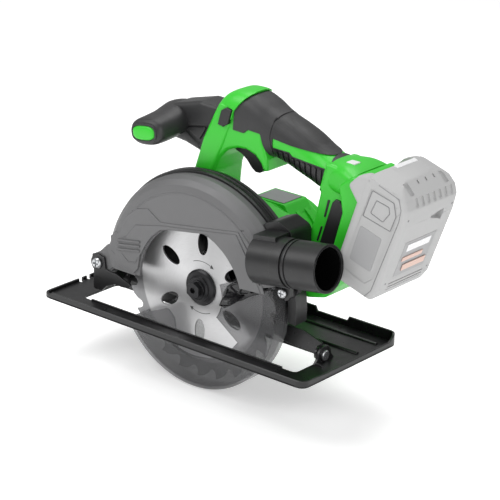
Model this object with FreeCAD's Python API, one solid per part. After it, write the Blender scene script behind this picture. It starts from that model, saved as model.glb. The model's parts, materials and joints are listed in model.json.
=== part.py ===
"""Cordless circular saw, blade on the left, as separate solids in millimetres.

+X runs to the rear (battery side), +Y away from the blade side (motor side), +Z up.
The origin is on the blade's axis, in the middle plane of the blade.
"""
import FreeCAD, Part
import math
import os

V = FreeCAD.Vector

# ---------------------------------------------------------------- driving dimensions
BLADE_R = 82.5            # 165 mm blade
BLADE_T = 1.6
BLADE_BORE_R = 10.0
BLADE_TEETH = 24
SOLE_Z = -34.0            # underside of the base plate
SHEET = 2.0               # base plate thickness
BASE_X = (-141.0, 149.0)
BASE_Y = (-49.0, 82.0)
SLOT_X = (-111.0, 125.0)
SLOT_Y = (-28.6, 16.0)
BEVEL_Y = 7.0             # bevel hinge axis, along X
BEVEL_Z = -27.0
BEVEL_PIN_R = 2.5
PIVOT_X = -106.0          # depth pivot axis, along Y
PIVOT_Z = -2.0
PIVOT_R = 3.0
GUIDE_R = 176.0           # depth guide slot radius about the pivot
GUARD_R = 100.0           # upper guard outside
WINDOW_R = 57.0
GUARD_FROM = 18.0         # upper guard's span, degrees from +X towards +Z
GUARD_TO = 181.0
RIM_SCREWS = (56, 92, 130, 165)
FACE_Y = -16.0            # near face of the upper guard
LOWER_R = 88.4            # lower guard outside
NOSE_R = 18.0             # gear case nose that the lower guard turns on
RUN = 0.06                # radial running clearance
GAP = 0.3                 # gap between bodies
GEAR_M = 1.0              # gear module
PINION_Z = 10
GEAR_Z = 52
CENTRES = GEAR_M * (PINION_Z + GEAR_Z) / 2
MOTOR_ANGLE = math.radians(54.5)
MOTOR_X = CENTRES * math.cos(MOTOR_ANGLE)
MOTOR_Z = CENTRES * math.sin(MOTOR_ANGLE)
MOTOR_R = 38.0
HANDLE_Y = (22.0, 62.0)   # width of the main handle
SPLIT_Y = 42.0            # joint plane of the handle halves
WALL = 2.6                # moulded wall
PACK_TILT = math.radians(17.0)
PACK_ORIGIN = (150.0, 112.0)   # point of the rail plane, X and Z
PACK_Y = (5.0, 79.0)
PACK_A = (0.4, 49.0)      # battery thickness, away from the rail plane
PACK_B = (-70.0, 34.0)    # battery height, along the rail


# ---------------------------------------------------------------- helpers
def box(x, y, z):
    """Box from three (low, high) pairs."""
    return Part.makeBox(x[1] - x[0], y[1] - y[0], z[1] - z[0], V(x[0], y[0], z[0]))


def cyl_y(r, y, x=0.0, z=0.0):
    return Part.makeCylinder(r, y[1] - y[0], V(x, y[0], z), V(0, 1, 0))


def cyl_x(r, x, y, z):
    return Part.makeCylinder(r, x[1] - x[0], V(x[0], y, z), V(1, 0, 0))


def ring_y(ro, ri, y, x=0.0, z=0.0):
    return cyl_y(ro, y, x, z).cut(cyl_y(ri, (y[0] - 1, y[1] + 1), x, z))


def plate_y(points, y):
    """Polygon in the XZ plane, extruded along Y."""
    wire = Part.makePolygon([V(x, y[0], z) for x, z in points + points[:1]])
    return Part.Face(wire).extrude(V(0, y[1] - y[0], 0))


def smooth_plate_y(points, y, r):
    """Polygon in the XZ plane with every corner rounded to about r, extruded along Y."""
    edges = []
    corners = []
    count = len(points)
    for i, (x, z) in enumerate(points):
        here = V(x, y[0], z)
        to_prev = V(points[i - 1][0], y[0], points[i - 1][1]) - here
        to_next = V(points[(i + 1) % count][0], y[0], points[(i + 1) % count][1]) - here
        half = to_prev.getAngle(to_next) / 2
        cut = min(r / math.tan(half), 0.45 * to_prev.Length, 0.45 * to_next.Length)
        radius = cut * math.tan(half)
        to_prev.normalize()
        to_next.normalize()
        start = here + to_prev * cut
        end = here + to_next * cut
        bisector = to_prev + to_next
        bisector.normalize()
        middle = here + bisector * (radius / math.sin(half) - radius)
        corners.append((start, middle, end))
    for i, (start, middle, end) in enumerate(corners):
        edges.append(Part.Arc(start, middle, end).toShape())
        edges.append(Part.makeLine(end, corners[(i + 1) % count][0]))
    return Part.Face(Part.Wire(edges)).extrude(V(0, y[1] - y[0], 0))


def plate_x(points, x):
    """Polygon in the YZ plane, extruded along X."""
    wire = Part.makePolygon([V(x[0], y, z) for y, z in points + points[:1]])
    return Part.Face(wire).extrude(V(x[1] - x[0], 0, 0))


def link_y(first, second, y):
    """Two circles (x, z, r) and their tangent hull, extruded along Y."""
    x1, z1, r1 = first
    x2, z2, r2 = second
    along = math.atan2(z2 - z1, x2 - x1)
    lean = math.acos((r1 - r2) / math.hypot(x2 - x1, z2 - z1))
    points = []
    for sign, order in ((1, (first, second)), (-1, (second, first))):
        for x, z, r in order:
            turn = along + sign * lean
            points.append((x + r * math.cos(turn), z + r * math.sin(turn)))
    return cyl_y(r1, y, x1, z1).fuse(cyl_y(r2, y, x2, z2)).fuse(plate_y(points, y)).removeSplitter()


def sweep_y(profile, start, end):
    """Profile of (radius, y) points turned about the blade axis from start to end degrees."""
    wire = Part.makePolygon([V(r, y, 0) for r, y in profile + profile[:1]])
    face = Part.Face(wire)
    face.rotate(V(0, 0, 0), V(0, -1, 0), start)
    return face.revolve(V(0, 0, 0), V(0, -1, 0), end - start)


def sector(ro, ri, y, start, end):
    return sweep_y([(ri, y[0]), (ro, y[0]), (ro, y[1]), (ri, y[1])], start, end)


def polar(r, degrees, x=0.0, z=0.0):
    return (x + r * math.cos(math.radians(degrees)), z + r * math.sin(math.radians(degrees)))


def fuse(shapes):
    result = shapes[0].multiFuse(shapes[1:])
    return result.removeSplitter()


def cut(shape, tools):
    return shape.cut(tools)


def soften(shape, wanted, r):
    """Fillet the edges that wanted(edge) picks; keep the sharp shape if the kernel refuses."""
    edges = [edge for edge in shape.Edges if wanted(edge)]
    try:
        soft = shape.makeFillet(r, edges)
    except Exception:
        return shape
    return soft if soft.isValid() else shape


def on_plane(axis, value):
    """Edge test: the whole edge lies in the plane axis = value."""
    def test(edge):
        bounds = edge.BoundBox
        low = getattr(bounds, axis + "Min")
        high = getattr(bounds, axis + "Max")
        return abs(low - value) < 1e-3 and abs(high - value) < 1e-3
    return test


def save(name, shape):
    shape.exportStep("parts/" + name + ".step")


def pack_point(a, b):
    """Point in the tilted battery frame: a away from the rail plane, b up along it."""
    x = PACK_ORIGIN[0] + a * math.cos(PACK_TILT) + b * math.sin(PACK_TILT)
    z = PACK_ORIGIN[1] - a * math.sin(PACK_TILT) + b * math.cos(PACK_TILT)
    return (x, z)


def pack_block(a, y, b):
    """Block in the tilted battery frame."""
    corners = [(a[0], b[0]), (a[1], b[0]), (a[1], b[1]), (a[0], b[1])]
    return plate_y([pack_point(*corner) for corner in corners], y)


def screw_y(x, z, y_head, y_tip, r_head, r_shank):
    """Pan-head screw along Y with a cross recess; the head is at y_head, outermost."""
    side = 1 if y_tip > y_head else -1
    head_t = 0.55 * r_head
    seat = y_head + side * head_t
    head = cyl_y(r_head, sorted((y_head, seat)), x, z)
    head = soften(head, on_plane("Y", y_head), 0.4 * r_head)
    shank = cyl_y(r_shank, sorted((seat, y_tip)), x, z)
    slot = 0.16 * r_head
    depth = sorted((y_head - side, y_head + side * 0.35 * r_head))
    flat = box((x - 0.6 * r_head, x + 0.6 * r_head), depth, (z - slot, z + slot))
    tall = box((x - slot, x + slot), depth, (z - 0.6 * r_head, z + 0.6 * r_head))
    return cut(head.fuse(shank), [flat, tall])


def gear(teeth, y, x, z, phase, bore, thin):
    """Spur gear with involute flanks and 25 degree pressure angle, thinned for backlash."""
    pressure = math.radians(25)
    pitch = GEAR_M * teeth / 2
    base = pitch * math.cos(pressure)
    tip = pitch + 0.85 * GEAR_M
    root = pitch - 1.1 * GEAR_M
    half = math.pi / (2 * teeth) - thin / pitch

    def involute(r):
        lean = math.acos(base / r)
        return math.tan(lean) - lean

    start = max(base, root) + 0.001
    radii = [start + (tip - start) * step / 4 for step in range(5)]
    offsets = [half + involute(pitch) - involute(r) for r in radii]
    points = []
    for tooth in range(teeth):
        middle = phase + 2 * math.pi * tooth / teeth
        flank = [(root, offsets[0])] + list(zip(radii, offsets))
        for r, offset in flank:
            points.append((r, middle - offset))
        for r, offset in reversed(flank):
            points.append((r, middle + offset))
    outline = [(x + r * math.cos(a), z + r * math.sin(a)) for r, a in points]
    return plate_y(outline, y).cut(cyl_y(bore, (y[0] - 1, y[1] + 1), x, z))


# ---------------------------------------------------------------- base plate and bevel hinge
def base_plate():
    top = SOLE_Z + SHEET
    floor = box(BASE_X, BASE_Y, (SOLE_Z, top))
    floor = soften(floor, lambda e: e.BoundBox.ZLength > SHEET - 0.1, 9.0)
    slot = box(SLOT_X, SLOT_Y, (SOLE_Z - 1, top + 1))
    slot = soften(slot, lambda e: e.BoundBox.ZLength > SHEET, 5.0)
    sight = [box((BASE_X[0] - 1, BASE_X[0] + 4), (y, y + 5), (SOLE_Z - 1, top + 9)) for y in (-4.0, 6.0)]
    lean = 1.6
    x0, x1 = BASE_X
    y0, y1 = BASE_Y
    walls = [
        box((x0 + 9, x1 - 9), (y0, y0 + lean), (top, SOLE_Z + 6.5)),
        box((x0, x0 + lean), (y0 + 9, y1 - 9), (top, SOLE_Z + 4.5)),
        box((x1 - lean, x1), (y0 + 9, y1 - 9), (top, SOLE_Z + 6.0)),
        box((x0 + 9, 62.0), (y1 - lean, y1), (top, SOLE_Z + 11.0)),
        box((62.0, 98.0), (y1 - lean, y1), (top, SOLE_Z + 7.0)),
        box((98.0, x1 - 9), (y1 - lean, y1), (top, SOLE_Z + 11.0)),
        box((SLOT_X[0] + 6, SLOT_X[1] - 6), (SLOT_Y[0] - lean, SLOT_Y[0]), (top, SOLE_Z + 3.6)),
        box((-98.0, -40.0), (SLOT_Y[1], SLOT_Y[1] + lean), (top, SOLE_Z + 9.5)),
        box((84.0, 112.0), (SLOT_Y[1], SLOT_Y[1] + lean), (top, SOLE_Z + 9.5)),
    ]
    for cx, left in ((x0 + 9, True), (x1 - 9, False)):
        centre = V(cx, y0 + 9, top)
        ring = Part.makeCylinder(9.0, 4.0, centre).cut(Part.makeCylinder(9.0 - lean, 4.0, centre))
        side = (cx - 9.5, cx) if left else (cx, cx + 9.5)
        walls.append(ring.common(box(side, (y0 - 1, y0 + 9), (top, top + 4))))
    beads = []
    for y in (38.0, 65.0):
        bead = box((-96.0, 139.0), (y - 2.0, y + 2.0), (top, top + 1.1))
        beads.append(soften(bead, lambda e: e.BoundBox.ZLength > 1, 1.9))
    rear_lug = link_x((BEVEL_Y, BEVEL_Z, 8.5), (SLOT_X[1] + GAP, SLOT_X[1] + 3), 28.0)
    front_lug = link_x((BEVEL_Y, BEVEL_Z, 5.5), (SLOT_X[0] - 3, SLOT_X[0] - GAP), 18.0)
    holes = [cyl_x(BEVEL_PIN_R, (SLOT_X[1] - 1, SLOT_X[1] + 5), BEVEL_Y, BEVEL_Z),
             cyl_x(BEVEL_PIN_R, (SLOT_X[0] - 5, SLOT_X[0] + 1), BEVEL_Y, BEVEL_Z)]
    below = box((x0 - 5, x1 + 5), (y0 - 5, y1 + 5), (SOLE_Z - 20, SOLE_Z))
    solid = fuse([cut(floor, [slot])] + walls + beads + [rear_lug, front_lug])
    return cut(solid, holes + sight + [below])


def link_x(eye, x, width):
    """Upright lug across X: a round eye (y, z, r) on a foot as wide as width."""
    y, z, r = eye
    foot = plate_x([(y - width / 2, SOLE_Z), (y + width / 2, SOLE_Z), (y + r, z), (y - r, z)], x)
    return cyl_x(r, x, y, z).fuse(foot)


def bevel_hinge_pins():
    """Riveted pins with round heads, pressed into the lugs of the base plate."""
    pins = []
    for lug, inward in ((SLOT_X[1] + 3, -1), (SLOT_X[0] - 3, 1)):
        shank = sorted((lug, lug + inward * 8.5))
        head = sorted((lug, lug - inward * 1.6))
        pin = cyl_x(BEVEL_PIN_R, shank, BEVEL_Y, BEVEL_Z).fuse(cyl_x(4.7, head, BEVEL_Y, BEVEL_Z))
        pins.append(soften(pin, on_plane("X", lug - inward * 1.6), 1.2))
    return Part.makeCompound(pins)


QUADRANT_R = 34.0         # lock stud radius about the bevel axis
STUD_ANGLE = 25.0


def arc_plate_x(ro, ri, x, start, end):
    """Arc strip across X about the bevel axis, from start to end degrees from +Y."""
    ring = cyl_x(ro, x, BEVEL_Y, BEVEL_Z).cut(cyl_x(ri, (x[0] - 1, x[1] + 1), BEVEL_Y, BEVEL_Z))
    points = [(BEVEL_Y, BEVEL_Z)]
    steps = 4
    for step in range(steps + 1):
        points.append(polar(2 * ro, start + (end - start) * step / steps, BEVEL_Y, BEVEL_Z))
    return ring.common(plate_x(points, x))


def bevel_quadrant():
    """Arc plate on the front bar; the bevel lock stud runs in its slot."""
    x = (SLOT_X[0] - 3.3, SLOT_X[0] - 0.8)
    top = SOLE_Z + SHEET
    plate = arc_plate_x(QUADRANT_R + 8, QUADRANT_R - 8, x, 4, 86)
    foot = box(x, (BEVEL_Y + QUADRANT_R - 8, BEVEL_Y + QUADRANT_R + 8), (top, BEVEL_Z + 4))
    flange = box((x[0] - 9, x[1]), (BEVEL_Y + QUADRANT_R - 8, BEVEL_Y + QUADRANT_R + 8), (top, top + 2))
    slot = arc_plate_x(QUADRANT_R + 3.3, QUADRANT_R - 3.3, (x[0] - 1, x[1] + 1), 18, 77)
    return cut(fuse([plate, foot, flange]), [slot])


# ---------------------------------------------------------------- bevel frame
def front_bracket():
    """Upright plate with the depth pivot, a web to the hinge eye and an arm for the lock stud."""
    y = (-16.0, -14.0)
    side = plate_y([(-112.5, 5), (-99, 5), (-97, -6), (-84, -7), (-67, -13), (-69, -16), (-76, -17),
                    (-86, -17), (-95, -21), (-101, -27), (-109.5, -27), (-110.6, -20), (-110.6, -7),
                    (-112.5, -5)], y)
    boss = cyl_y(8.0, y, PIVOT_X, PIVOT_Z)
    web_x = (-110.6, -108.6)
    far = plate_y([(-112.5, 2), (-102.3, 2), (-102.3, -12), (-108.6, -20), (-112.5, -20)], (-5.4, -3.4))
    web = plate_x([(-16, -12.6), (-16, -26), (2, -31.7), (12, -31.7), (13, -20), (-3.4, -12.6)], web_x)
    stud_y, stud_z = polar(QUADRANT_R, STUD_ANGLE, BEVEL_Y, BEVEL_Z)
    arm = plate_x([(BEVEL_Y, BEVEL_Z + 6), (stud_y - 3, stud_z + 7), (stud_y + 6, stud_z + 1),
                   (stud_y + 2, stud_z - 7), (BEVEL_Y + 4, BEVEL_Z - 4)], web_x)
    pivot = cyl_y(PIVOT_R, (-20, 0), PIVOT_X, PIVOT_Z)
    eye = cyl_x(BEVEL_PIN_R + RUN, (-112, -107), BEVEL_Y, BEVEL_Z)
    stud = cyl_x(3.0, (-112, -107), stud_y, stud_z)
    return cut(fuse([side, boss, far, web, arm]), [pivot, eye, stud])


def bevel_lock_stud():
    stud_y, stud_z = polar(QUADRANT_R, STUD_ANGLE, BEVEL_Y, BEVEL_Z)
    shank = cyl_x(3.0, (-128.0, -108.6), stud_y, stud_z)
    return shank.fuse(cyl_x(5.0, (-108.6, -106.6), stud_y, stud_z))


def bevel_lock_knob():
    """Wing knob that turns on the stud and clamps the quadrant."""
    stud_y, stud_z = polar(QUADRANT_R, STUD_ANGLE, BEVEL_Y, BEVEL_Z)
    x = (-125.0, -115.2)
    hub = cyl_x(8.0, x, stud_y, stud_z)
    wings = box((x[0], x[1] - 3), (stud_y - 13, stud_y + 13), (stud_z - 2.2, stud_z + 2.2))
    wings = soften(wings, lambda e: e.BoundBox.XLength > 4, 2.0)
    return fuse([hub, wings]).cut(cyl_x(3.0 + RUN, (-130, -110), stud_y, stud_z))


def depth_guide():
    """Slotted arc plate about the depth pivot, with a foot bar to the rear hinge eye."""
    y = (17.4, 19.4)
    steps = 8
    outline = []
    for r, order in ((GUIDE_R + 8, range(steps + 1)), (GUIDE_R - 8, range(steps, -1, -1))):
        for step in order:
            outline.append(polar(r, -7.5 + 29.5 * step / steps, PIVOT_X, PIVOT_Z))
    arc = plate_y(outline, y)
    slot = []
    for r, order in ((GUIDE_R + 3.2, range(steps + 1)), (GUIDE_R - 3.2, range(steps, -1, -1))):
        for step in order:
            slot.append(polar(r, -1.4 + 22.8 * step / steps, PIVOT_X, PIVOT_Z))
    joggle = box((62.0, 78.0), (12.0, 19.4), (-23.4, -21.4))
    bar = plate_y([(62, -23.4), (62, -14), (100, -14), (120.4, -20), (120.4, -33), (112, -30),
                   (90, -30), (70, -28)], (12.0, 14.0))
    ear = cyl_x(5.2, (120.4, 122.4), BEVEL_Y, BEVEL_Z)
    ear = ear.fuse(box((118.4, 122.4), (BEVEL_Y, 14.0), (BEVEL_Z - 5, BEVEL_Z + 5)))
    eye = cyl_x(BEVEL_PIN_R + RUN, (110, 124.5), BEVEL_Y, BEVEL_Z)
    solid = fuse([arc.cut(plate_y(slot, (16, 21))), joggle, bar, ear])
    return cut(solid, [eye])


def depth_pivot_screw():
    """Shouldered pan-head screw across the bracket; the upper guard's ear turns on it."""
    return screw_y(PIVOT_X, PIVOT_Z, -19.0, -1.6, 5.0, PIVOT_R)


# ---------------------------------------------------------------- upper guard and dust port
def ear_shape(grow):
    """Front ear that turns on the depth pivot."""
    ear = smooth_plate_y([(-115, 3), (-106, 8), (-92, 22), (-88, 0), (-97, -9), (-110, -11)],
                         (-13.6, -6.0), 4.0)
    return ear.fuse(cyl_y(9.0 + grow, (-13.6, -6.0), PIVOT_X, PIVOT_Z))


def upper_guard():
    """Cast outer half: a flat near face with a window, a rounded shoulder and a front foot."""
    shell = sweep_y([(88, FACE_Y), (93, -14.7), (97.3, -11), (GUARD_R, -5.5), (GUARD_R, 1),
                     (92.6, 1), (92.6, -9), (89.6, -13.2), (WINDOW_R, -13.2), (WINDOW_R, FACE_Y)],
                    GUARD_FROM, GUARD_TO)
    face = (FACE_Y, -13.2)
    lintel = plate_y([(-33, 48), (-26, 49.5), (19, 57), (30, 50), (34, 56), (19, 66), (-33, 60)], face)
    foot = smooth_plate_y([(-94, 14), (-88.5, -2), (-62, -2), (-56.5, 5), (-54.5, 19), (-56, 32),
                           (-88, 32)], face, 3.0)
    ring_cut = sweep_y([(84.6, -17), (86.0, -17), (86.0, -15.3), (84.6, -15.3)], 27, 150)
    step = plate_y([(-67, 56.3), (-44, 64), (-33, 55.2), (57, 70), (47, 65.2), (-34, 51.5),
                    (-45, 60.5), (-66, 53.4)], (-17, -15.2))
    grooves = []
    for z in (28.0, 22.5, 17.0):
        grooves.append(plate_y([(-81, z - 4), (-58, z), (-58, z - 1.6), (-81, z - 5.6)], (-17, -15.3)))
    for shift in (0.0, 6.5):
        grooves.append(plate_y([(47 + shift, 48 + 0.4 * shift), (61 + shift, 34 + 0.4 * shift),
                                (59.6 + shift, 32.8 + 0.4 * shift), (45.6 + shift, 46.8 + 0.4 * shift)],
                               (-17, -15.3)))
    ear = ear_shape(0.0)
    inside = sweep_y([(0, -13.2), (89.6, -13.2), (92.6, -9), (92.6, 2), (0, 2)], -20, 200)
    swing_room = cyl_y(WINDOW_R - 3, (-18, -12))
    solid = fuse([shell, lintel.cut(swing_room), foot, ear.cut(inside)])
    pivot = cyl_y(PIVOT_R + RUN, (-20, 0), PIVOT_X, PIVOT_Z)
    bolt_holes = [cyl_y(1.6, (-7, 2), *polar(96.3, turn)) for turn in RIM_SCREWS]
    throat = port_cylinder(PORT_BORE_R, 4, 40).common(box((0, 160), (-13.2, 20), (0, 160)))
    return cut(solid, [pivot, ring_cut, step, throat] + grooves + bolt_holes)


PORT_TILT = 7.8
PORT_Y = -15.6
PORT_ROOT = (74.7, 50.3)
PORT_LENGTH = 69.3
PORT_R = 20.2
PORT_BORE_R = 17.8


def port_cylinder(r, start, end):
    """Cylinder about the dust port's axis between two distances from its root."""
    cos_t = math.cos(math.radians(PORT_TILT))
    sin_t = math.sin(math.radians(PORT_TILT))
    foot = V(PORT_ROOT[0] + start * cos_t, PORT_Y, PORT_ROOT[1] + start * sin_t)
    return Part.makeCylinder(r, end - start, foot, V(cos_t, 0, sin_t))


def dust_port():
    """Round outlet tube with two hose grooves, a top rib and a screw flange."""
    tube = port_cylinder(PORT_R, 0, PORT_LENGTH)
    collar = port_cylinder(PORT_R + 0.5, 0, 34)
    rib = plate_y([(72, 66), (72, 72.6), (95, 76), (95, 68)], (-24, -5.6))
    flange = smooth_plate_y([(84, 40), (84, 19), (103, 19), (103, 40)], (-12, -7), 4.0)
    solid = fuse([tube, collar, rib, flange])
    grooves = []
    for start in (34.0, 38.2):
        ring = port_cylinder(PORT_R + 2, start, start + 1.8)
        grooves.append(ring.cut(port_cylinder(PORT_R - 0.9, start, start + 1.8)))
    bore = port_cylinder(PORT_BORE_R, 40, PORT_LENGTH + 2)
    throat = port_cylinder(PORT_BORE_R - 1.0, 4, 42)
    guard_room = cyl_y(GUARD_R + 0.1, (FACE_Y - 0.1, 1))
    shell_room = cyl_y(101.1, (1, 8))
    screw = cyl_y(2.0, (-20, 0), 96.2, 25.0)
    pin_hole = cyl_y(1.0, (PORT_Y - 24, PORT_Y - 14), 121.0, 57.0)
    return cut(solid, grooves + [bore, throat, guard_room, shell_room, screw, pin_hole])


def dust_port_screw():
    return screw_y(96.2, 25.0, -15.0, -3.0, 4.2, 2.0)


def guard_inner_shell():
    """Ridged moulded half behind the cast one: rim, far wall and the chip duct to the port."""
    rim = sweep_y([(92.6, 1), (102.0, 1), (102.6, 3), (102.6, 5.4), (101.2, 6), (101.2, 7.4), (102.6, 8),
                   (102.6, 10.6), (101.2, 11.2), (101.2, 12.4), (100, 17), (92.6, 17)], 40, 181)
    rim_rear = sweep_y([(92.6, 1), (101, 1), (100, 17), (92.6, 17)], -4, 40)
    wall = sector(94.0, NOSE_R + 0.02, (15.0, 17.0), -4, 181)
    hub = ring_y(30.5, NOSE_R + 0.02, (15.0, 17.0))
    dome = smooth_plate_y([(70, 62), (66, 76), (82, 82), (97, 76), (99, 40), (86, 20), (88, 40)],
                          (-5.4, 21.2), 6.0)
    tab = plate_y([(92, 14), (97, 17), (104, 24), (106, 34), (92, 40)], (-3.0, 3.0))
    cavity = sweep_y([(0, -20), (92.6, -20), (92.6, 15.0), (0, 15.0)], -60, 240)
    throat = port_cylinder(PORT_BORE_R, 4, 40)
    tube_room = port_cylinder(PORT_R + 0.55, 0, PORT_LENGTH)
    solid = fuse([rim, rim_rear, wall, hub, dome.cut(cyl_y(92.6, (-20, 16))), tab])
    screw = cyl_y(2.0, (-20, 10), 96.2, 25.0)
    screws = [cyl_y(1.75, (14, 18), *polar(GUARD_SCREW_R, turn)) for turn in GUARD_SCREWS]
    rim_screws = [cyl_y(1.6, (0, 8), *polar(96.3, turn)) for turn in RIM_SCREWS]
    cast_room = sweep_y([(80, -14), (101, -14), (101, 1), (80, 1)], GUARD_FROM - 0.5, GUARD_TO)
    bolt_head = cyl_y(6.6, (14, 18), GUIDE_R + PIVOT_X, PIVOT_Z)
    return cut(solid, [cavity, throat, tube_room, screw, cast_room, bolt_head] + screws + rim_screws)


GUARD_SCREWS = (20.0, 110.0, 200.0, 290.0)
GUARD_SCREW_R = 26.2


def guard_screws():
    """Four screws that hold the guard's far wall on the gear case."""
    screws = []
    for turn in GUARD_SCREWS:
        x, z = polar(GUARD_SCREW_R, turn)
        screws.append(cyl_y(2.6, (13.2, 15.0), x, z).fuse(cyl_y(1.6, (15.0, 22.5), x, z)))
    return Part.makeCompound(screws)


def rim_screws():
    """Four headless screws that join the cast half and the moulded half along the rim."""
    return Part.makeCompound([cyl_y(1.5, (-6.0, 7.0), *polar(96.3, turn)) for turn in RIM_SCREWS])


# ---------------------------------------------------------------- lower guard
def lower_guard():
    """Clear C-section guard that turns on the gear case nose."""
    start, end = -148, 25
    near = (-11.0, -9.0)
    far = (5.5, 7.5)
    rim = sweep_y([(86.2, near[0] + 1.5), (87.4, near[0]), (LOWER_R, near[0] + 1.2), (LOWER_R, far[1]),
                   (86.2, far[1])], start, end)
    near_wall = sector(87.4, 60, near, start, end)
    lobe = smooth_plate_y([polar(87, -147), polar(60, -146), polar(38, -140), polar(38, -124),
                           polar(52, -110), polar(66, -104), polar(86.5, -112), polar(87.2, -130)],
                          near, 5.0)
    rear = sector(64, 31, near, -34, 25)
    far_wall = sector(87.4, 23, far, start, end)
    hub = ring_y(24, NOSE_R + RUN, (5.5, 8.2))
    bead = sweep_y([(60, -12.0), (61.6, -12.0), (61.6, near[0]), (60, near[0])], start + 36, -34)
    return fuse([rim, near_wall, lobe, rear, far_wall, hub, bead])


def guard_lever():
    """Ribbed thumb lever on the lower guard's near wall."""
    arm_y = (-12.6, -11.0)
    tab_y = (-24.0, -12.6)
    arm = plate_y([(31, 9), (44, 23), (66, 27), (80, 33), (84, 26), (70, 20), (58, 15), (49, 3)], arm_y)
    tab = smooth_plate_y([(31.5, 9.5), (42.5, 21.5), (48.5, 19.0), (50.5, 9), (49, 3)], tab_y, 1.5)
    pockets = []
    for points in ([(36, 10), (42, 17.5), (46.5, 10)], [(44.5, 18.5), (48, 16), (48.3, 11.5)],
                   [(37.5, 8.6), (46.5, 8.2), (47.5, 5.6)]):
        pockets.append(plate_y(points, (-25.0, -14.0)))
    windows = []
    for left in (50.0, 57.0, 64.0, 71.0):
        low = 13.2 + (left - 50) * 0.42
        windows.append(plate_y([(left, low), (left + 5, low + 2.4), (left + 0.6, low + 7.6)], (-13, -10.5)))
    return cut(fuse([arm, tab]), pockets + windows)


def guard_spring():
    """Torsion spring round the gear case nose, as half turns tilted to meet end to end."""
    radius = 21.6
    wire_r = 0.7
    rise = 1.0
    tilt = math.degrees(math.asin(rise / (2 * radius)))
    halves = []
    for index in range(5):
        section_face = Part.Face(Part.Wire([Part.makeCircle(wire_r, V(radius, 0, 0), V(0, 0, 1))]))
        forwards = index % 2 == 0
        half = section_face.revolve(V(0, 0, 0), V(0, -1 if forwards else 1, 0), 180)
        half.rotate(V(0, 0, 0), V(0, 0, 1), -tilt if forwards else tilt)
        half.translate(V(0, 9.7 + rise * index, 0))
        halves.append(half)
    return fuse(halves)


def guard_circlip():
    clip = ring_y(20.0, NOSE_R - 0.6, (4.4, 5.2))
    return clip.cut(box((-30, 0), (4, 6), (-2.5, 2.5)))


# ---------------------------------------------------------------- blade and spindle
def saw_blade():
    outline = []
    pitch = 360 / BLADE_TEETH
    tooth = ((BLADE_R, 0), (80.6, 0.36), (77.6, 0.58), (74.2, 0.74), (73.6, 0.88), (75.4, 1.0), (79, 1.03))
    for index in range(BLADE_TEETH):
        for r, part in tooth:
            outline.append(polar(r, 28.7 + (index + part) * pitch))
    thickness = (-BLADE_T / 2, BLADE_T / 2)
    disc = plate_y(outline, thickness)
    holes = [cyl_y(BLADE_BORE_R, (-2, 2))]
    for index in range(6):
        ellipse = Part.Ellipse(V(40.2, -2, 0), 10.8, 5.6)
        face = Part.Face(Part.Wire([ellipse.toShape()]))
        face.rotate(V(40.2, -2, 0), V(1, 0, 0), 90)
        hole = face.extrude(V(0, 4, 0))
        hole.translate(V(0, -hole.BoundBox.YMin - 2, 0))
        hole.rotate(V(0, 0, 0), V(0, -1, 0), 89.5 + 60 * index)
        holes.append(hole)
    return cut(disc, holes)


def outer_flange():
    """Domed clamping flange outside the blade."""
    profile = [(4.1, -0.8), (16, -0.8), (16, -2.2), (14.6, -3.4), (11.2, -4.2), (11.2, -5.6), (9.6, -6.4),
               (4.1, -6.4)]
    return sweep_y(profile, 0, 360)


def inner_flange():
    """Clamping flange inside the blade, with the boss that centres the bore."""
    profile = [(6.0, -0.7), (9.97, -0.7), (9.97, 0.8), (16, 0.8), (16, 4.0), (6.0, 4.0)]
    return sweep_y(profile, 0, 360)


def blade_bolt():
    """Hex-head bolt with a hexagon socket; it screws into the spindle's end."""
    washer = ring_y(8.0, 4.0, (-7.6, -6.4))
    corners = [polar(7.4, 60 * index + 30) for index in range(6)]
    head = plate_y(corners, (-12.6, -7.6)).common(cyl_y(7.2, (-13, -7)))
    socket = plate_y([polar(2.9, 60 * index) for index in range(6)], (-13, -9.2))
    shank = cyl_y(4.0, (-7.6, 12.0))
    return fuse([washer, head, shank]).cut(socket)


def spindle():
    shaft = cyl_y(6.0, (-0.7, 41.0))
    collar = cyl_y(8.5, (4.0, 7.6))
    return fuse([shaft, collar]).cut(cyl_y(4.0, (-2, 12.0)))


GEAR_Y = (25.0, 34.0)


def output_gear():
    return gear(GEAR_Z, GEAR_Y, 0.0, 0.0, MOTOR_ANGLE, 6.0, 0.06)


def bearing(ro, ri, y, x, z):
    """Ball bearing as two races with a ball ring between them."""
    mid = (ro + ri) / 2
    outer = ring_y(ro, mid + 1.2, y, x, z)
    inner = ring_y(mid - 1.2, ri, y, x, z)
    centre = (y[0] + y[1]) / 2
    shield = ring_y(mid + 1.3, mid - 1.3, (centre - 1.5, centre + 1.5), x, z)
    return fuse([outer, inner, shield])


def spindle_bearings():
    return Part.makeCompound([bearing(14.0, 6.0 + 0.02, (9.0, 17.0), 0, 0),
                              bearing(11.0, 6.0 + 0.02, (35.5, 40.5), 0, 0)])


def motor_bearings():
    return Part.makeCompound([bearing(9.5, 4.02, (37.0, 42.0), MOTOR_X, MOTOR_Z),
                              bearing(9.5, 4.02, (101.0, 106.0), MOTOR_X, MOTOR_Z)])


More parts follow.
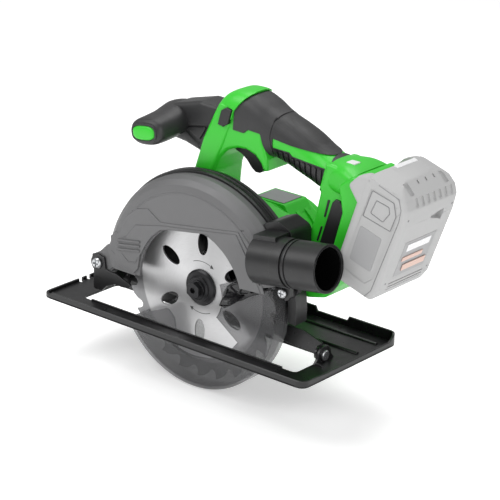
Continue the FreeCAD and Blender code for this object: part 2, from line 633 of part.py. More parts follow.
# ---------------------------------------------------------------- gear case and motor
def gear_case():
    """Die-cast case: nose for the lower guard, gear chamber and the depth lock arm."""
    big = (0.0, 0.0, 30.5)
    motor = (MOTOR_X, MOTOR_Z, MOTOR_R - 4)
    flange = cyl_y(30.5, (17.0, 20.2))
    body = link_y(big, motor, (20.2, 41.6))
    nose = cyl_y(NOSE_R, (5.2, 17.0))
    neck = cyl_y(NOSE_R - 0.6, (4.2, 5.2))
    arm = link_y((GUIDE_R + PIVOT_X, PIVOT_Z, 7.5), (36.0, 8.0, 11.0), (20.2, 24.6))
    solid = fuse([flange, body, nose, neck, arm])
    room = link_y((0.0, 0.0, 28.0), (MOTOR_X, MOTOR_Z, 14.0), (23.0, 35.2))
    holes = [cyl_y(14.0, (9.0, 17.0)), cyl_y(9.2, (4.0, 9.5)), cyl_y(8.0, (16.5, 23.5)),
             cyl_y(11.0, (35.0, 40.5)), cyl_y(7.0, (40.0, 43.0)),
             cyl_y(9.5, (37.0, 43.0), MOTOR_X, MOTOR_Z), cyl_y(7.0, (34.0, 38.0), MOTOR_X, MOTOR_Z),
             cyl_y(3.0, (19.0, 26.0), GUIDE_R + PIVOT_X, PIVOT_Z)]
    for turn in GUARD_SCREWS:
        holes.append(cyl_y(1.6, (16.0, 22.5), *polar(GUARD_SCREW_R, turn)))
    lock_x, lock_z = LOCK_PIN
    holes.append(cyl_y(3.0 + RUN, (34.0, 43.0), lock_x, lock_z))
    return cut(solid, [room] + holes)


LOCK_PIN = polar(21.0, 200.0)


def motor_housing():
    """Barrel of the motor with cooling slots and the raised label seat."""
    y = (62.3, 103.0)
    barrel = cyl_y(MOTOR_R, (42.0, y[1]), MOTOR_X, MOTOR_Z)
    barrel = soften(barrel, on_plane("Y", y[1]), 4.0)
    seat = smooth_plate_y([(MOTOR_X - 26, MOTOR_Z + 26), (MOTOR_X - 20, MOTOR_Z + 40.5),
                           (MOTOR_X + 16, MOTOR_Z + 40.5), (MOTOR_X + 26, MOTOR_Z + 26)], (66.0, 97.0), 4.0)
    ribs = []
    for start in (64.0, 76.0, 88.0):
        ribs.append(ring_y(MOTOR_R + 1.6, MOTOR_R - 1, (start, start + 3.5), MOTOR_X, MOTOR_Z))
    solid = fuse([barrel, seat] + ribs)
    bore = cyl_y(MOTOR_R - WALL, (41.0, 100.0), MOTOR_X, MOTOR_Z)
    mouth = cyl_y(30.0, (99.0, 104.0), MOTOR_X, MOTOR_Z)
    vents = []
    for turn in range(200, 341, 20):
        slot = box((MOTOR_R - 8, MOTOR_R + 4), (82.0, 98.0), (-1.5, 1.5))
        slot.rotate(V(0, 0, 0), V(0, -1, 0), turn)
        slot.translate(V(MOTOR_X, 0, MOTOR_Z))
        vents.append(slot)
    return cut(solid, [bore, mouth] + vents)


def motor_end_cap():
    """Vented cover behind the motor; it holds the rear bearing."""
    cap = cyl_y(MOTOR_R - 3, (103.0, 112.0), MOTOR_X, MOTOR_Z)
    cap = soften(cap, on_plane("Y", 112.0), 4.0)
    seat = ring_y(12.0, 9.5, (100.6, 106.0), MOTOR_X, MOTOR_Z)
    spigot = ring_y(29.9, 27.0, (100.6, 104.0), MOTOR_X, MOTOR_Z)
    hollow = cyl_y(27.0, (100.0, 106.0), MOTOR_X, MOTOR_Z).cut(cyl_y(12.0, (99.0, 107.0), MOTOR_X, MOTOR_Z))
    bore = cyl_y(9.5, (99.0, 106.0), MOTOR_X, MOTOR_Z)
    slots = []
    for index in range(10):
        slot = box((14.0, 26.0), (99.0, 114.0), (-1.5, 1.5))
        slot.rotate(V(0, 0, 0), V(0, -1, 0), 36 * index)
        slot.translate(V(MOTOR_X, 0, MOTOR_Z))
        slots.append(slot)
    webs = box((MOTOR_X - 28, MOTOR_X + 28), (100.6, 103.5), (MOTOR_Z - 1.5, MOTOR_Z + 1.5))
    return cut(fuse([cap.cut(hollow), seat, spigot, webs]), [bore] + slots)


def rating_label():
    """Blank plate on the raised seat."""
    return box((MOTOR_X - 16, MOTOR_X + 13), (69.0, 94.0), (MOTOR_Z + 40.55, MOTOR_Z + 41.1))


def stator_core():
    core = ring_y(MOTOR_R - WALL - 0.1, 15.6, (60.0, 88.0), MOTOR_X, MOTOR_Z)
    slots = []
    for index in range(9):
        slot = box((17.4, 28.0), (59.0, 89.0), (-3.4, 3.4))
        slot.rotate(V(0, 0, 0), V(0, -1, 0), 40 * index)
        slot.translate(V(MOTOR_X, 0, MOTOR_Z))
        slots.append(slot)
    return cut(core, slots)


def stator_windings():
    """Nine coils in the stator's slots, with their end turns."""
    coils = []
    for index in range(9):
        coil = box((18.0, 27.4), (56.0, 92.0), (-3.0, 3.0))
        coil.rotate(V(0, 0, 0), V(0, -1, 0), 40 * index)
        coil.translate(V(MOTOR_X, 0, MOTOR_Z))
        coils.append(coil)
    return Part.makeCompound(coils)


def rotor_shaft():
    """Motor shaft; its pinion is cut from the same bar."""
    phase = MOTOR_ANGLE + math.pi + math.pi / PINION_Z
    pinion = gear(PINION_Z, (24.4, 34.6), MOTOR_X, MOTOR_Z, phase, 1.0, 0.06)
    shaft = cyl_y(4.0, (34.6, 106.0), MOTOR_X, MOTOR_Z)
    return fuse([pinion, shaft, cyl_y(1.2, (24.4, 35.0), MOTOR_X, MOTOR_Z)])


def rotor_core():
    return ring_y(15.0, 4.0, (60.0, 88.0), MOTOR_X, MOTOR_Z)


def cooling_fan():
    """Fan behind the gear case with a back plate and nine blades."""
    y = (46.0, 54.0)
    plate = ring_y(32.0, 4.0, (y[0], y[0] + 1.8), MOTOR_X, MOTOR_Z)
    hub = ring_y(8.0, 4.0, y, MOTOR_X, MOTOR_Z)
    blades = []
    for index in range(9):
        blade = box((7.0, 31.0), (y[0] + 1.5, y[1]), (-0.8, 0.8))
        blade.rotate(V(0, 0, 0), V(0, -1, 0), 40 * index)
        blade.translate(V(MOTOR_X, 0, MOTOR_Z))
        blades.append(blade)
    return fuse([plate, hub] + blades)


def depth_lock_bolt():
    """Square-neck bolt through the depth guide and the gear case arm."""
    x = GUIDE_R + PIVOT_X
    head = cyl_y(6.5, (14.4, 17.1), x, PIVOT_Z)
    shank = cyl_y(3.0, (17.1, 36.0), x, PIVOT_Z)
    return head.fuse(shank)


def depth_lock_lever():
    """Clamping lever on the bolt; it hangs down beside the gear case arm."""
    x = GUIDE_R + PIVOT_X
    hub = cyl_y(8.0, (25.0, 34.0), x, PIVOT_Z)
    arm = smooth_plate_y([(x - 6, 3), (x + 6, 2), (x - 4, -25), (x - 13, -25)], (27.0, 34.0), 2.0)
    return fuse([hub, arm]).cut(cyl_y(3.0 + RUN, (24, 37), x, PIVOT_Z))


# ---------------------------------------------------------------- main handle
OUTER = [(-46, 52), (-29, 93), (-18, 123), (-5, 150), (7, 165.5), (22, 169), (40, 161), (75, 149.5),
         (97, 137.5), (112, 131.5), (138.5, 127.5), (149.6, 111), (124.5, 28), (113, 15), (96, 10.6),
         (55, 10.6), (36, 2), (0, 0), (-20, 10), (-38, 30)]
INNER = [(-10, 72), (-10, 96), (-3.5, 110), (4, 118.5), (14, 122.5), (24, 123.5), (34, 120.5), (40.5, 114.5),
         (43, 108.5), (49.5, 109.5), (51.5, 121.5), (78, 114.5), (103, 105.5),
         (98, 80), (87, 52), (70, 50), (50, 61), (18, 68)]


def handle_solid(y):
    outer = smooth_plate_y(OUTER, y, 9.0)
    inner = smooth_plate_y(INNER, (y[0] - 1, y[1] + 1), 6.0)
    return outer.cut(inner)


def side_face(solid, y):
    """The flat face of a plate at one y."""
    for face in solid.Faces:
        if abs(face.CenterOfMass.y - y) < 1e-6 and abs(face.normalAt(0, 0).y) > 0.9:
            return face
    return None


def handle_hollow(y):
    """The space inside the handle walls."""
    outer = smooth_plate_y(OUTER, (y[0], y[1]), 9.0)
    inner = smooth_plate_y(INNER, (y[0] - 1, y[1] + 1), 6.0)
    shrunk = side_face(outer, y[0]).makeOffset2D(-WALL, join=2)
    grown = side_face(inner, y[0] - 1).makeOffset2D(WALL, join=2)
    space = shrunk.extrude(V(0, y[1] - y[0], 0))
    if space.BoundBox.YMax > y[1] + 1e-3:
        space = shrunk.extrude(V(0, y[0] - y[1], 0))
    island = grown.extrude(V(0, y[1] - y[0] + 2, 0))
    if island.BoundBox.YMin < y[0] - 1.5:
        island = grown.extrude(V(0, -(y[1] - y[0] + 2), 0))
    return space.cut(island)


GRIP_ZONE = [(17, 175), (13, 142), (16, 137.6), (22, 137.6), (26.4, 141.6), (39.2, 140.8), (42, 135),
             (51, 139), (106, 125), (114, 136), (90, 160)]
TRIGGER_PIN = (8.0, 124.0)


def handle_cutters():
    """Spaces shared by both handle halves."""
    gear_room = link_y((0.0, 0.0, 30.9), (MOTOR_X, MOTOR_Z, MOTOR_R + 0.2), (10, SPLIT_Y))
    motor_room = cyl_y(MOTOR_R + 0.05, (SPLIT_Y, 70), MOTOR_X, MOTOR_Z)
    trigger_room = plate_y([(2, 131), (2, 100), (41, 100), (41, 131)], (34.4, 49.6))
    arm_room = link_y((GUIDE_R + PIVOT_X, PIVOT_Z, 7.9), (36.0, 8.0, 11.4), (20.0, 24.9))
    lock = plate_y(lock_outline(0.6), (10, 70))
    rail = pack_block((-7.0, 1.0), (24.0, 60.0), (-66.0, 8.0))
    pin = cyl_y(2.0, (30.0, 54.0), *TRIGGER_PIN)
    return [gear_room, motor_room, trigger_room, arm_room, lock, rail, pin]


LOCK_OFF = (3.2, 147.8)
LOCK_CORNERS = ((6.6, 125), (8.7, 81), (10.4, 46), (6.6, -54), (8.7, -99), (10.4, -134))


def lock_outline(room):
    """The cross bolt's stretched hexagon, grown by the running room of its hole."""
    return [polar(r + room, turn, *LOCK_OFF) for r, turn in LOCK_CORNERS]



def handle_half(y, wall_y):
    """One moulded half: the side wall at wall_y, open towards the joint plane."""
    solid = handle_solid(y)
    outer_face = y[0] if wall_y == "near" else y[1]
    solid = soften(solid, on_plane("Y", outer_face), 3.0)
    if wall_y == "near":
        space = handle_hollow((y[0] + WALL, y[1]))
    else:
        space = handle_hollow((y[0], y[1] - WALL))
    keep = plate_y([(-60, 74), (-60, 180), (160, 180), (160, 20), (80, 20), (80, 74)], (y[0] - 1, y[1] + 1))
    space = space.common(keep)
    pins = [cyl_y(4.0, y, x, z) for x, z in HANDLE_SCREWS]
    solid = cut(solid, [space]).multiFuse([pin.common(handle_solid(y)) for pin in pins])
    holes = [cyl_y(1.6, (y[0] - 1, y[1] + 1), x, z) for x, z in HANDLE_SCREWS]
    if wall_y == "near":
        holes = [cyl_y(1.6, (y[0] + 6, y[1] + 1), x, z) for x, z in HANDLE_SCREWS]
    else:
        holes += [cyl_y(3.4, (y[1] - 4.0, y[1] + 1), x, z) for x, z in HANDLE_SCREWS]
    grip = grip_recess()
    panel = [panel_shape(side, 0.0) for side in ("near", "far")]
    return cut(solid, holes + handle_cutters() + [grip] + panel).removeSplitter()


HANDLE_SCREWS = [(-14, 112), (14, 158), (107, 126), (133, 116), (113, 36)]


def grip_recess():
    """Where the rubber sits in the handle: a skin over the sides and the top."""
    zone = plate_y(GRIP_ZONE, (HANDLE_Y[0] - 2, HANDLE_Y[1] + 2))
    core = handle_core(1.8)
    return zone.cut(core)


def handle_core(depth):
    """Handle outline shrunk by depth on the outside and on both faces."""
    outline = smooth_plate_y(OUTER, (0, 1), 9.0)
    face = [f for f in outline.Faces if abs(f.CenterOfMass.y) < 1e-6 and abs(f.normalAt(0, 0).y) > 0.9][0]
    core = face.makeOffset2D(-depth, join=2).extrude(V(0, HANDLE_Y[1] - HANDLE_Y[0] - 2 * depth, 0))
    core.translate(V(0, HANDLE_Y[0] + depth - core.BoundBox.YMin, 0))
    return core


def rubber_grip():
    """Soft overmould on the main grip."""
    zone = plate_y(GRIP_ZONE, (HANDLE_Y[0] - 2, HANDLE_Y[1] + 2))
    block = smooth_plate_y(OUTER, (HANDLE_Y[0], HANDLE_Y[1]), 9.0)
    block = soften(block, on_plane("Y", HANDLE_Y[0]), 3.0)
    block = soften(block, on_plane("Y", HANDLE_Y[1]), 3.0)
    lock = plate_y(lock_outline(0.6), (10, 70))
    screw = [cyl_y(3.6, (SPLIT_Y, 70), x, z) for x, z in HANDLE_SCREWS]
    return cut(block.common(zone).cut(handle_core(1.75)), [lock] + screw)


def under_grip():
    """Ribbed soft strip under the grip."""
    ribs = []
    for index in range(8):
        x = 54 + index * 6.0
        z = 121.5 - (x - 51.5) * 0.293
        ribs.append(box((x, x + 3.4), (27.0, 57.0), (z - 4.2, z + 1.0)))
    strip = plate_y([(53, 122), (78, 114.5), (101, 106.5), (100, 103.8), (78, 112.2), (53.5, 119.0)],
                    (25.0, 59.0))
    inner = smooth_plate_y(INNER, (20, 64), 6.0)
    return fuse([strip.common(inner)] + [rib.common(inner) for rib in ribs])


def panel_shape(side, shrink):
    """Black insert in the side of the strut."""
    points = [(-28.0, -54.0), (-9.0, -54.0), (-7.0, -14.0), (-14.0, -6.0), (-22.0, -14.0)]
    outline = [pack_point(*point) for point in points]
    y = (HANDLE_Y[0] - 1, HANDLE_Y[0] + 1.4) if side == "near" else (HANDLE_Y[1] - 1.4, HANDLE_Y[1] + 1)
    panel = smooth_plate_y(outline, y, 2.0)
    if shrink:
        keep = (HANDLE_Y[0] + 0.2, HANDLE_Y[0] + 1.4)
        if side == "far":
            keep = (HANDLE_Y[1] - 1.4, HANDLE_Y[1] - 0.2)
        panel = panel.common(box((60, 180), keep, (0, 160)))
    return panel


def strut_panels():
    return Part.makeCompound([panel_shape("near", 1.0), panel_shape("far", 1.0)])


def battery_foot():
    """Wide socket behind the strut that the battery slides on."""
    y = (14.0, 70.0)
    corners = [(-16, 12.5), (-1.9, -3), (-0.2, -12), (-0.2, -68), (-12, -68), (-12, -20), (-26, 0), (-26, 16)]
    block = plate_y([pack_point(*corner) for corner in corners], y)
    block = soften(block, lambda e: e.BoundBox.YLength < 0.1 and e.Length > 10, 2.5)
    handle = handle_solid(HANDLE_Y)
    rail = pack_block((-7.0, 1.0), (24.0, 60.0), (-69.0, 8.0))
    return cut(block, [handle, rail])


def indicator_window():
    """Small pale charge window set in the foot's top."""
    return box((112.0, 119.0), (30.0, 38.0), (133.9, 134.6))


def handle_screws():
    """Screws that join the handle halves, from the far side."""
    screws = []
    for x, z in HANDLE_SCREWS:
        head = cyl_y(3.2, (HANDLE_Y[1] - 3.9, HANDLE_Y[1] - 1.9), x, z)
        socket = plate_y([polar(1.5, 60 * index, x, z) for index in range(6)], (58.9, 61))
        screws.append(head.fuse(cyl_y(1.5, (30.0, HANDLE_Y[1] - 3.9), x, z)).cut(socket))
    return Part.makeCompound(screws)


def trigger():
    """Trigger lever with a curved finger face and a boss round its pin."""
    y = (35.0, 49.0)
    x, z = TRIGGER_PIN
    blade = smooth_plate_y([(3.2, 127), (3.2, 116), (10, 114), (16, 110), (21.5, 104), (26, 101.2),
                            (31, 101.6), (35, 107), (38, 117), (34, 125), (12, 128.5)], y, 2.5)
    return blade.cut(cyl_y(2.0 + RUN, (30, 55), x, z))


def trigger_pin():
    x, z = TRIGGER_PIN
    return cyl_y(2.0, (30.0, 54.0), x, z)


def lock_off_button():
    """Hexagonal cross bolt through the handle above the trigger."""
    bar = plate_y(lock_outline(0), (18.2, 65.8))
    bar = soften(bar, on_plane("Y", 18.2), 0.8)
    return soften(bar, on_plane("Y", 65.8), 0.8)


def spindle_lock_button():
    """Push button that drops a pin towards the gear; it lies behind the gear case."""
    x, z = LOCK_PIN
    pin = cyl_y(3.0, (36.5, 46.0), x, z)
    cap = cyl_y(6.5, (46.0, 50.0), x, z)
    return pin.fuse(soften(cap, on_plane("Y", 50.0), 1.2))


def switch_module():
    """Trigger switch inside the handle, behind the trigger."""
    body = box((42.0, 66.0), (32.0, 52.0), (125.0, 143.0))
    stem = box((40.0, 42.0), (38.0, 46.0), (128.0, 133.0))
    return body.fuse(stem)


def control_board():
    board = pack_block((-24.0, -22.4), (26.0, 58.0), (-58.0, -16.0))
    parts = [board]
    for index in range(6):
        y = 28.0 + index * 5.0
        parts.append(pack_block((-26.4, -24.0), (y, y + 3.6), (-40.0, -26.0)))
    return fuse(parts)


def battery_terminal_block():
    """Contact carrier in the rail with four blades."""
    body = pack_block((-11.0, -7.4), (30.0, 54.0), (-40.0, -8.0))
    blades = []
    for y in (33.0, 38.5, 44.0, 49.5):
        blades.append(pack_block((-7.4, -3.4), (y, y + 1.0), (-36.0, -16.0)))
    return fuse([body] + blades)


# ---------------------------------------------------------------- auxiliary handle
def aux_handle():
    """Arm from the arch with a three-cornered recess and a rounded grip across the saw."""
    arm_y = (23.0, 52.0)
    arm = smooth_plate_y([(-3.5, 153), (-28, 154), (-58, 146), (-74, 136), (-76, 122), (-58, 115.5),
                          (-44, 114), (-32, 110), (-22, 109)], arm_y, 7.0)
    arm = soften(arm, on_plane("Y", arm_y[0]), 3.0)
    arm = soften(arm, on_plane("Y", arm_y[1]), 3.0)
    recess = smooth_plate_y([(-50, 128.5), (-20, 135), (-30.5, 116.5)], (22, 24.6), 1.5)
    grip = Part.makeLoft([section(-59.5, 126.6, 15.0, 9.5, -10.2), section(-59, 127, 17.4, 11.8, -5.0),
                          section(-58, 129, 17.6, 12.6, 14.0), section(-60, 132, 16.5, 13.5, 34.0),
                          section(-60, 132, 14, 11.5, 51.0)], True, False)
    body = fuse([arm, grip]).cut(recess)
    cap_seat = oval_block(-59.0, 126.8, 12.9, 6.9, (-12.0, -8.4))
    arch = smooth_plate_y(OUTER, (20, 64), 9.0)
    return cut(body, [cap_seat, arch])


def section(x, z, half_x, half_z, y):
    """Oval wire across Y."""
    ellipse = Part.Ellipse(V(x, y, z), half_x, half_z)
    wire = Part.Wire([ellipse.toShape()])
    wire.rotate(V(x, y, z), V(1, 0, 0), 90)
    return wire


def oval_block(x, z, half_x, half_z, y):
    block = smooth_plate_y([(x - half_x, z - half_z), (x + half_x, z - half_z), (x + half_x, z + half_z),
                            (x - half_x, z + half_z)], y, half_z * 0.95)
    return block


def aux_handle_cap():
    cap = oval_block(-59.0, 126.8, 12.85, 6.85, (-11.6, -8.4))
    return soften(cap, on_plane("Y", -11.6), 1.2)


# ---------------------------------------------------------------- battery
def battery_shell():
    """Outer shape of the pack, with rounded upright edges."""
    corners = [(PACK_A[0], PACK_B[0]), (PACK_A[1] - 4, PACK_B[0]), (PACK_A[1], PACK_B[0] + 12),
               (PACK_A[1], PACK_B[1] - 8), (PACK_A[1] - 8, PACK_B[1] - 1), (PACK_A[0] + 8, PACK_B[1]),
               (PACK_A[0], PACK_B[1] - 14)]
    block = smooth_plate_y([pack_point(*corner) for corner in corners], PACK_Y, 5.0)
    block = soften(block, on_plane("Y", PACK_Y[0]), 5.0)
    return soften(block, on_plane("Y", PACK_Y[1]), 5.0)


LID_A = 33.0
CELL_R = 9.0


def cell_centres():
    """Two rows of five cells."""
    return [pack_point(12.2 + 18.4 * row, -58.0 + 18.2 * index) for row in range(2) for index in range(5)]


def battery_case():
    """Front part of the pack with the rail, hollow for the cells."""
    shell = battery_shell().common(pack_block((-1, LID_A), (0, 90), (-90, 50)))
    hollow = pack_block((3.0, LID_A + 1), (8.0, 76.0), (-67.2, 13.0))
    upper = pack_block((14.0, LID_A + 1), (8.0, 76.0), (12.0, 24.2))
    rail = pack_block((-6.0, PACK_A[0] + 1), (25.0, 59.0), (-64.0, -6.0))
    rail = rail.cut(pack_block((-8.0, -2.6), (24.0, 27.6), (-70.0, 0.0)))
    contact_slots = [pack_block((-8.0, PACK_A[0] + WALL + 1), (y - 1.0, y + 2.0), (-70.0, -12.0))
                     for y in (33.0, 38.5, 44.0, 49.5)]
    latch_room = pack_block((5.6, 15.4), (29.6, 54.4), (PACK_B[1] - 9.0, PACK_B[1] + 5))
    stop = pack_block((3.0, 18.0), (27.0, 57.0), (PACK_B[1] - 13, PACK_B[1] - 3)).common(battery_shell())
    cell_bores = [cyl_y(CELL_R + 0.1, (8.0, 76.0), x, z) for x, z in cell_centres()]
    solid = fuse([shell, rail, stop])
    return cut(solid, [hollow, upper, latch_room] + contact_slots + cell_bores)


def battery_lid():
    """Rear part of the pack with grip recesses and drain slots."""
    shell = battery_shell().common(pack_block((LID_A, 60), (0, 90), (-90, 50)))
    hollow = pack_block((LID_A - 1, PACK_A[1] - 5), (8.0, 76.0), (-67.2, 24.2))
    grips = []
    for index in range(8):
        y = 16.0 + index * 6.6
        grips.append(pack_block((PACK_A[1] - 1.2, PACK_A[1] + 1), (y, y + 3.0), (12.0, 22.0)))
    finger = pack_block((PACK_A[1] - 2.0, PACK_A[1] + 1), (52.0, 66.0), (0.0, 6.0))
    return cut(shell, [hollow, finger] + grips)


def battery_cells():
    """Ten round cells, in two rows of five, lying across the pack."""
    return Part.makeCompound([cyl_y(CELL_R, (9.5, 74.5), x, z) for x, z in cell_centres()])


def battery_latch():
    """Press button of the pack's latch, in the top face."""
    button = pack_block((6.0, 15.0), (30.0, 54.0), (PACK_B[1] - 5.0, PACK_B[1] + 1.2))
    return soften(button, lambda e: e.BoundBox.ZLength < 5.5 and e.Length > 8, 1.0)


def battery_contacts():
    """Four sprung contacts behind the slots in the rail."""
    contacts = []
    for y in (33.0, 38.5, 44.0, 49.5):
        contacts.append(pack_block((-2.0, 2.9), (y + 1.4, y + 2.0), (-30.0, -14.0)))
    return Part.makeCompound(contacts)


# ---------------------------------------------------------------- write every sub-part
PARTS = [
    base_plate, bevel_hinge_pins, bevel_quadrant,
    front_bracket, depth_guide, depth_pivot_screw, bevel_lock_stud, bevel_lock_knob,
    upper_guard, guard_inner_shell, dust_port, dust_port_screw, guard_screws, rim_screws,
    lower_guard, guard_lever, guard_spring, guard_circlip,
    saw_blade, outer_flange, inner_flange, blade_bolt, spindle, output_gear, spindle_bearings,
    motor_bearings, gear_case, motor_housing, motor_end_cap, rating_label, stator_core, stator_windings,
    rotor_shaft, rotor_core, cooling_fan, depth_lock_bolt, depth_lock_lever,
    rubber_grip, under_grip, strut_panels, battery_foot, indicator_window, handle_screws,
    trigger, trigger_pin, lock_off_button, spindle_lock_button, switch_module, control_board,
    battery_terminal_block, aux_handle, aux_handle_cap,
    battery_case, battery_lid, battery_cells, battery_latch, battery_contacts,
]


def main():
    os.makedirs("parts", exist_ok=True)
    save("handle_near_half", handle_half((HANDLE_Y[0], SPLIT_Y - 0.05), "near"))
    save("handle_far_half", handle_half((SPLIT_Y + 0.05, HANDLE_Y[1]), "far"))
    for build in PARTS:
        save(build.__name__, build())


main()
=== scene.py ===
import json
import math

import bmesh
import bpy
from mathutils import Matrix, Vector
from mathutils.geometry import tessellate_polygon

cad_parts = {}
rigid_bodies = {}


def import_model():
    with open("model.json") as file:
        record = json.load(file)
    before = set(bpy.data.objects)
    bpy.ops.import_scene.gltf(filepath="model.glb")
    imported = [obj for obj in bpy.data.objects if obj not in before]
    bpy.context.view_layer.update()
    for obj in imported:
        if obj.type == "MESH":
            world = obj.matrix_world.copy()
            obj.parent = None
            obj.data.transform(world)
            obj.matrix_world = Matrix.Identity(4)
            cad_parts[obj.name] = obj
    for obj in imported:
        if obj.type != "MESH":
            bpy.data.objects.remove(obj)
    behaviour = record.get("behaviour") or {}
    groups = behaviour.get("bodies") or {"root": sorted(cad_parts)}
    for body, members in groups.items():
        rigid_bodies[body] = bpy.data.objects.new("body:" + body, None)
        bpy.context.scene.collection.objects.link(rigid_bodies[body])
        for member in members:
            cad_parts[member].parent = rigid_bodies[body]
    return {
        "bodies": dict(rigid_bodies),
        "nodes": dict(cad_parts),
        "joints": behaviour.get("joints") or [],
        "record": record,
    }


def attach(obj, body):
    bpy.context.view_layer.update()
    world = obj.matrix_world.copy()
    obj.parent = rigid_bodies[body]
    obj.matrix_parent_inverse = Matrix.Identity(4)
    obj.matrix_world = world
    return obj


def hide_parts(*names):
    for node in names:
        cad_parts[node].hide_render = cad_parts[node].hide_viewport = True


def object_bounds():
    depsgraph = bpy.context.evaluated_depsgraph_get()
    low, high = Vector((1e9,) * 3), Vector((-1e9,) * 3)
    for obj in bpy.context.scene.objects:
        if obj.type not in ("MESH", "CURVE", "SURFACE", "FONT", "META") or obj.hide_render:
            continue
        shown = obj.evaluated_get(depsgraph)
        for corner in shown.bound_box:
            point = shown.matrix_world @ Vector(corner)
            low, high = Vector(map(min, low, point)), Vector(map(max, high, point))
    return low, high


MM = 0.001
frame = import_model()
size_after_load = [list(corner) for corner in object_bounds()]
nodes = frame["nodes"]
scene = bpy.context.scene


# -------- materials
class Tree:
    """A small helper that adds nodes and links in one material."""

    def __init__(self, name):
        self.material = bpy.data.materials.new(name)
        self.material.use_nodes = True
        self.tree = self.material.node_tree
        self.tree.nodes.clear()
        self.output = self.tree.nodes.new("ShaderNodeOutputMaterial")

    def add(self, kind, settings=None, **inputs):
        node = self.tree.nodes.new("ShaderNode" + kind)
        for key, value in (settings or {}).items():
            setattr(node, key, value)
        for key, value in inputs.items():
            numbered = key[0] == "i" and key[1:].isdigit()
            self.feed(node.inputs[int(key[1:]) if numbered else key.replace("_", " ")], value)
        return node

    def feed(self, socket, value):
        if isinstance(value, bpy.types.NodeSocket):
            self.tree.links.new(value, socket)
        elif isinstance(value, tuple) and len(value) == 3 and socket.type == "RGBA":
            socket.default_value = (*value, 1.0)
        else:
            socket.default_value = value

    def math(self, operation, a, b=0.0):
        return self.add("Math", {"operation": operation}, i0=a, i1=b).outputs[0]

    def mix(self, factor, a, b, blend="MIX"):
        node = self.add("Mix", {"data_type": "RGBA", "blend_type": blend})
        self.feed(node.inputs["Factor"], factor)
        self.feed(node.inputs[6], a)
        self.feed(node.inputs[7], b)
        return node.outputs[2]

    def ramp(self, value, low, high, out_low=0.0, out_high=1.0):
        node = self.add("MapRange", {"clamp": True}, i0=value, i1=low, i2=high, i3=out_low, i4=out_high)
        return node.outputs[0]

    def noise(self, scale, detail=3.0, vector=None, rough=0.5):
        node = self.add("TexNoise", None, Scale=scale, Detail=detail, Roughness=rough)
        self.feed(node.inputs["Vector"], vector if vector is not None else self.place())
        return node.outputs["Fac"]

    def place(self):
        return self.add("TexCoord").outputs["Object"]

    def split(self):
        node = self.add("SeparateXYZ")
        self.feed(node.inputs[0], self.place())
        return node.outputs[:3]


def rgb(text):
    """Linear colour from an sRGB hex triple."""
    parts = [int(text[i:i + 2], 16) / 255 for i in (0, 2, 4)]
    return tuple(((c + 0.055) / 1.055) ** 2.4 if c > 0.04045 else c / 12.92 for c in parts)


def surface(name, colour, rough=0.45, metallic=0.0, grain=1400.0, bump=0.12, vary=0.06, edge_wear_and_highlight=0.35,
            edge_wear_and_highlight_colour=None, edge=0.35, specular=0.5, mottling=0.08, dress=None):
    """Painted, moulded or cast surface: grain bump, uneven gloss and colour, softened edges lightened partly
    by abrasion and partly as painted highlight.
    """
    t = Tree(name)
    fine = t.noise(grain, 4.0)
    broad = t.noise(38.0, 3.0)
    blotch = t.ramp(t.noise(120.0, 5.0, rough=0.65), 0.3, 0.7)
    base = t.mix(t.math("MULTIPLY", broad, mottling * 2), colour, tuple(c * 0.72 for c in colour))
    bevel = t.add("Bevel", {"samples": 4}, Radius=edge * MM)
    geometry = t.add("NewGeometry")
    dot = t.add("VectorMath", {"operation": "DOT_PRODUCT"})
    t.feed(dot.inputs[0], bevel.outputs[0])
    t.feed(dot.inputs[1], geometry.outputs["Normal"])
    # Edges are lightened in the colour: partly abrasion, partly a painted highlight along the rims.
    rubbed_and_lit_edge = t.ramp(dot.outputs["Value"], 0.995, 0.86)
    rubbed_and_lit_edge = t.math("MULTIPLY", rubbed_and_lit_edge, t.ramp(blotch, 0.15, 0.75, 0.35, 1.0))
    lighter = edge_wear_and_highlight_colour or tuple(min(1.0, c * 1.5 + 0.035) for c in colour)
    base = t.mix(t.math("MULTIPLY", rubbed_and_lit_edge, edge_wear_and_highlight), base, lighter)
    gloss = t.ramp(blotch, 0.0, 1.0, rough - vary, rough + vary)
    gloss = t.math("ADD", gloss, t.math("MULTIPLY", fine, 0.04))
    height = t.add("Bump", None, Strength=bump, Distance=0.0002)
    t.feed(height.inputs["Height"], fine)
    t.feed(height.inputs["Normal"], bevel.outputs[0])
    shader = t.add("BsdfPrincipled", None, Metallic=metallic)
    shader.inputs["Specular IOR Level"].default_value = specular
    if dress:
        base = dress(t, base)
    t.feed(shader.inputs["Base Color"], base)
    t.feed(shader.inputs["Roughness"], gloss)
    t.feed(shader.inputs["Normal"], height.outputs[0])
    t.tree.links.new(shader.outputs[0], t.output.inputs["Surface"])
    return t.material


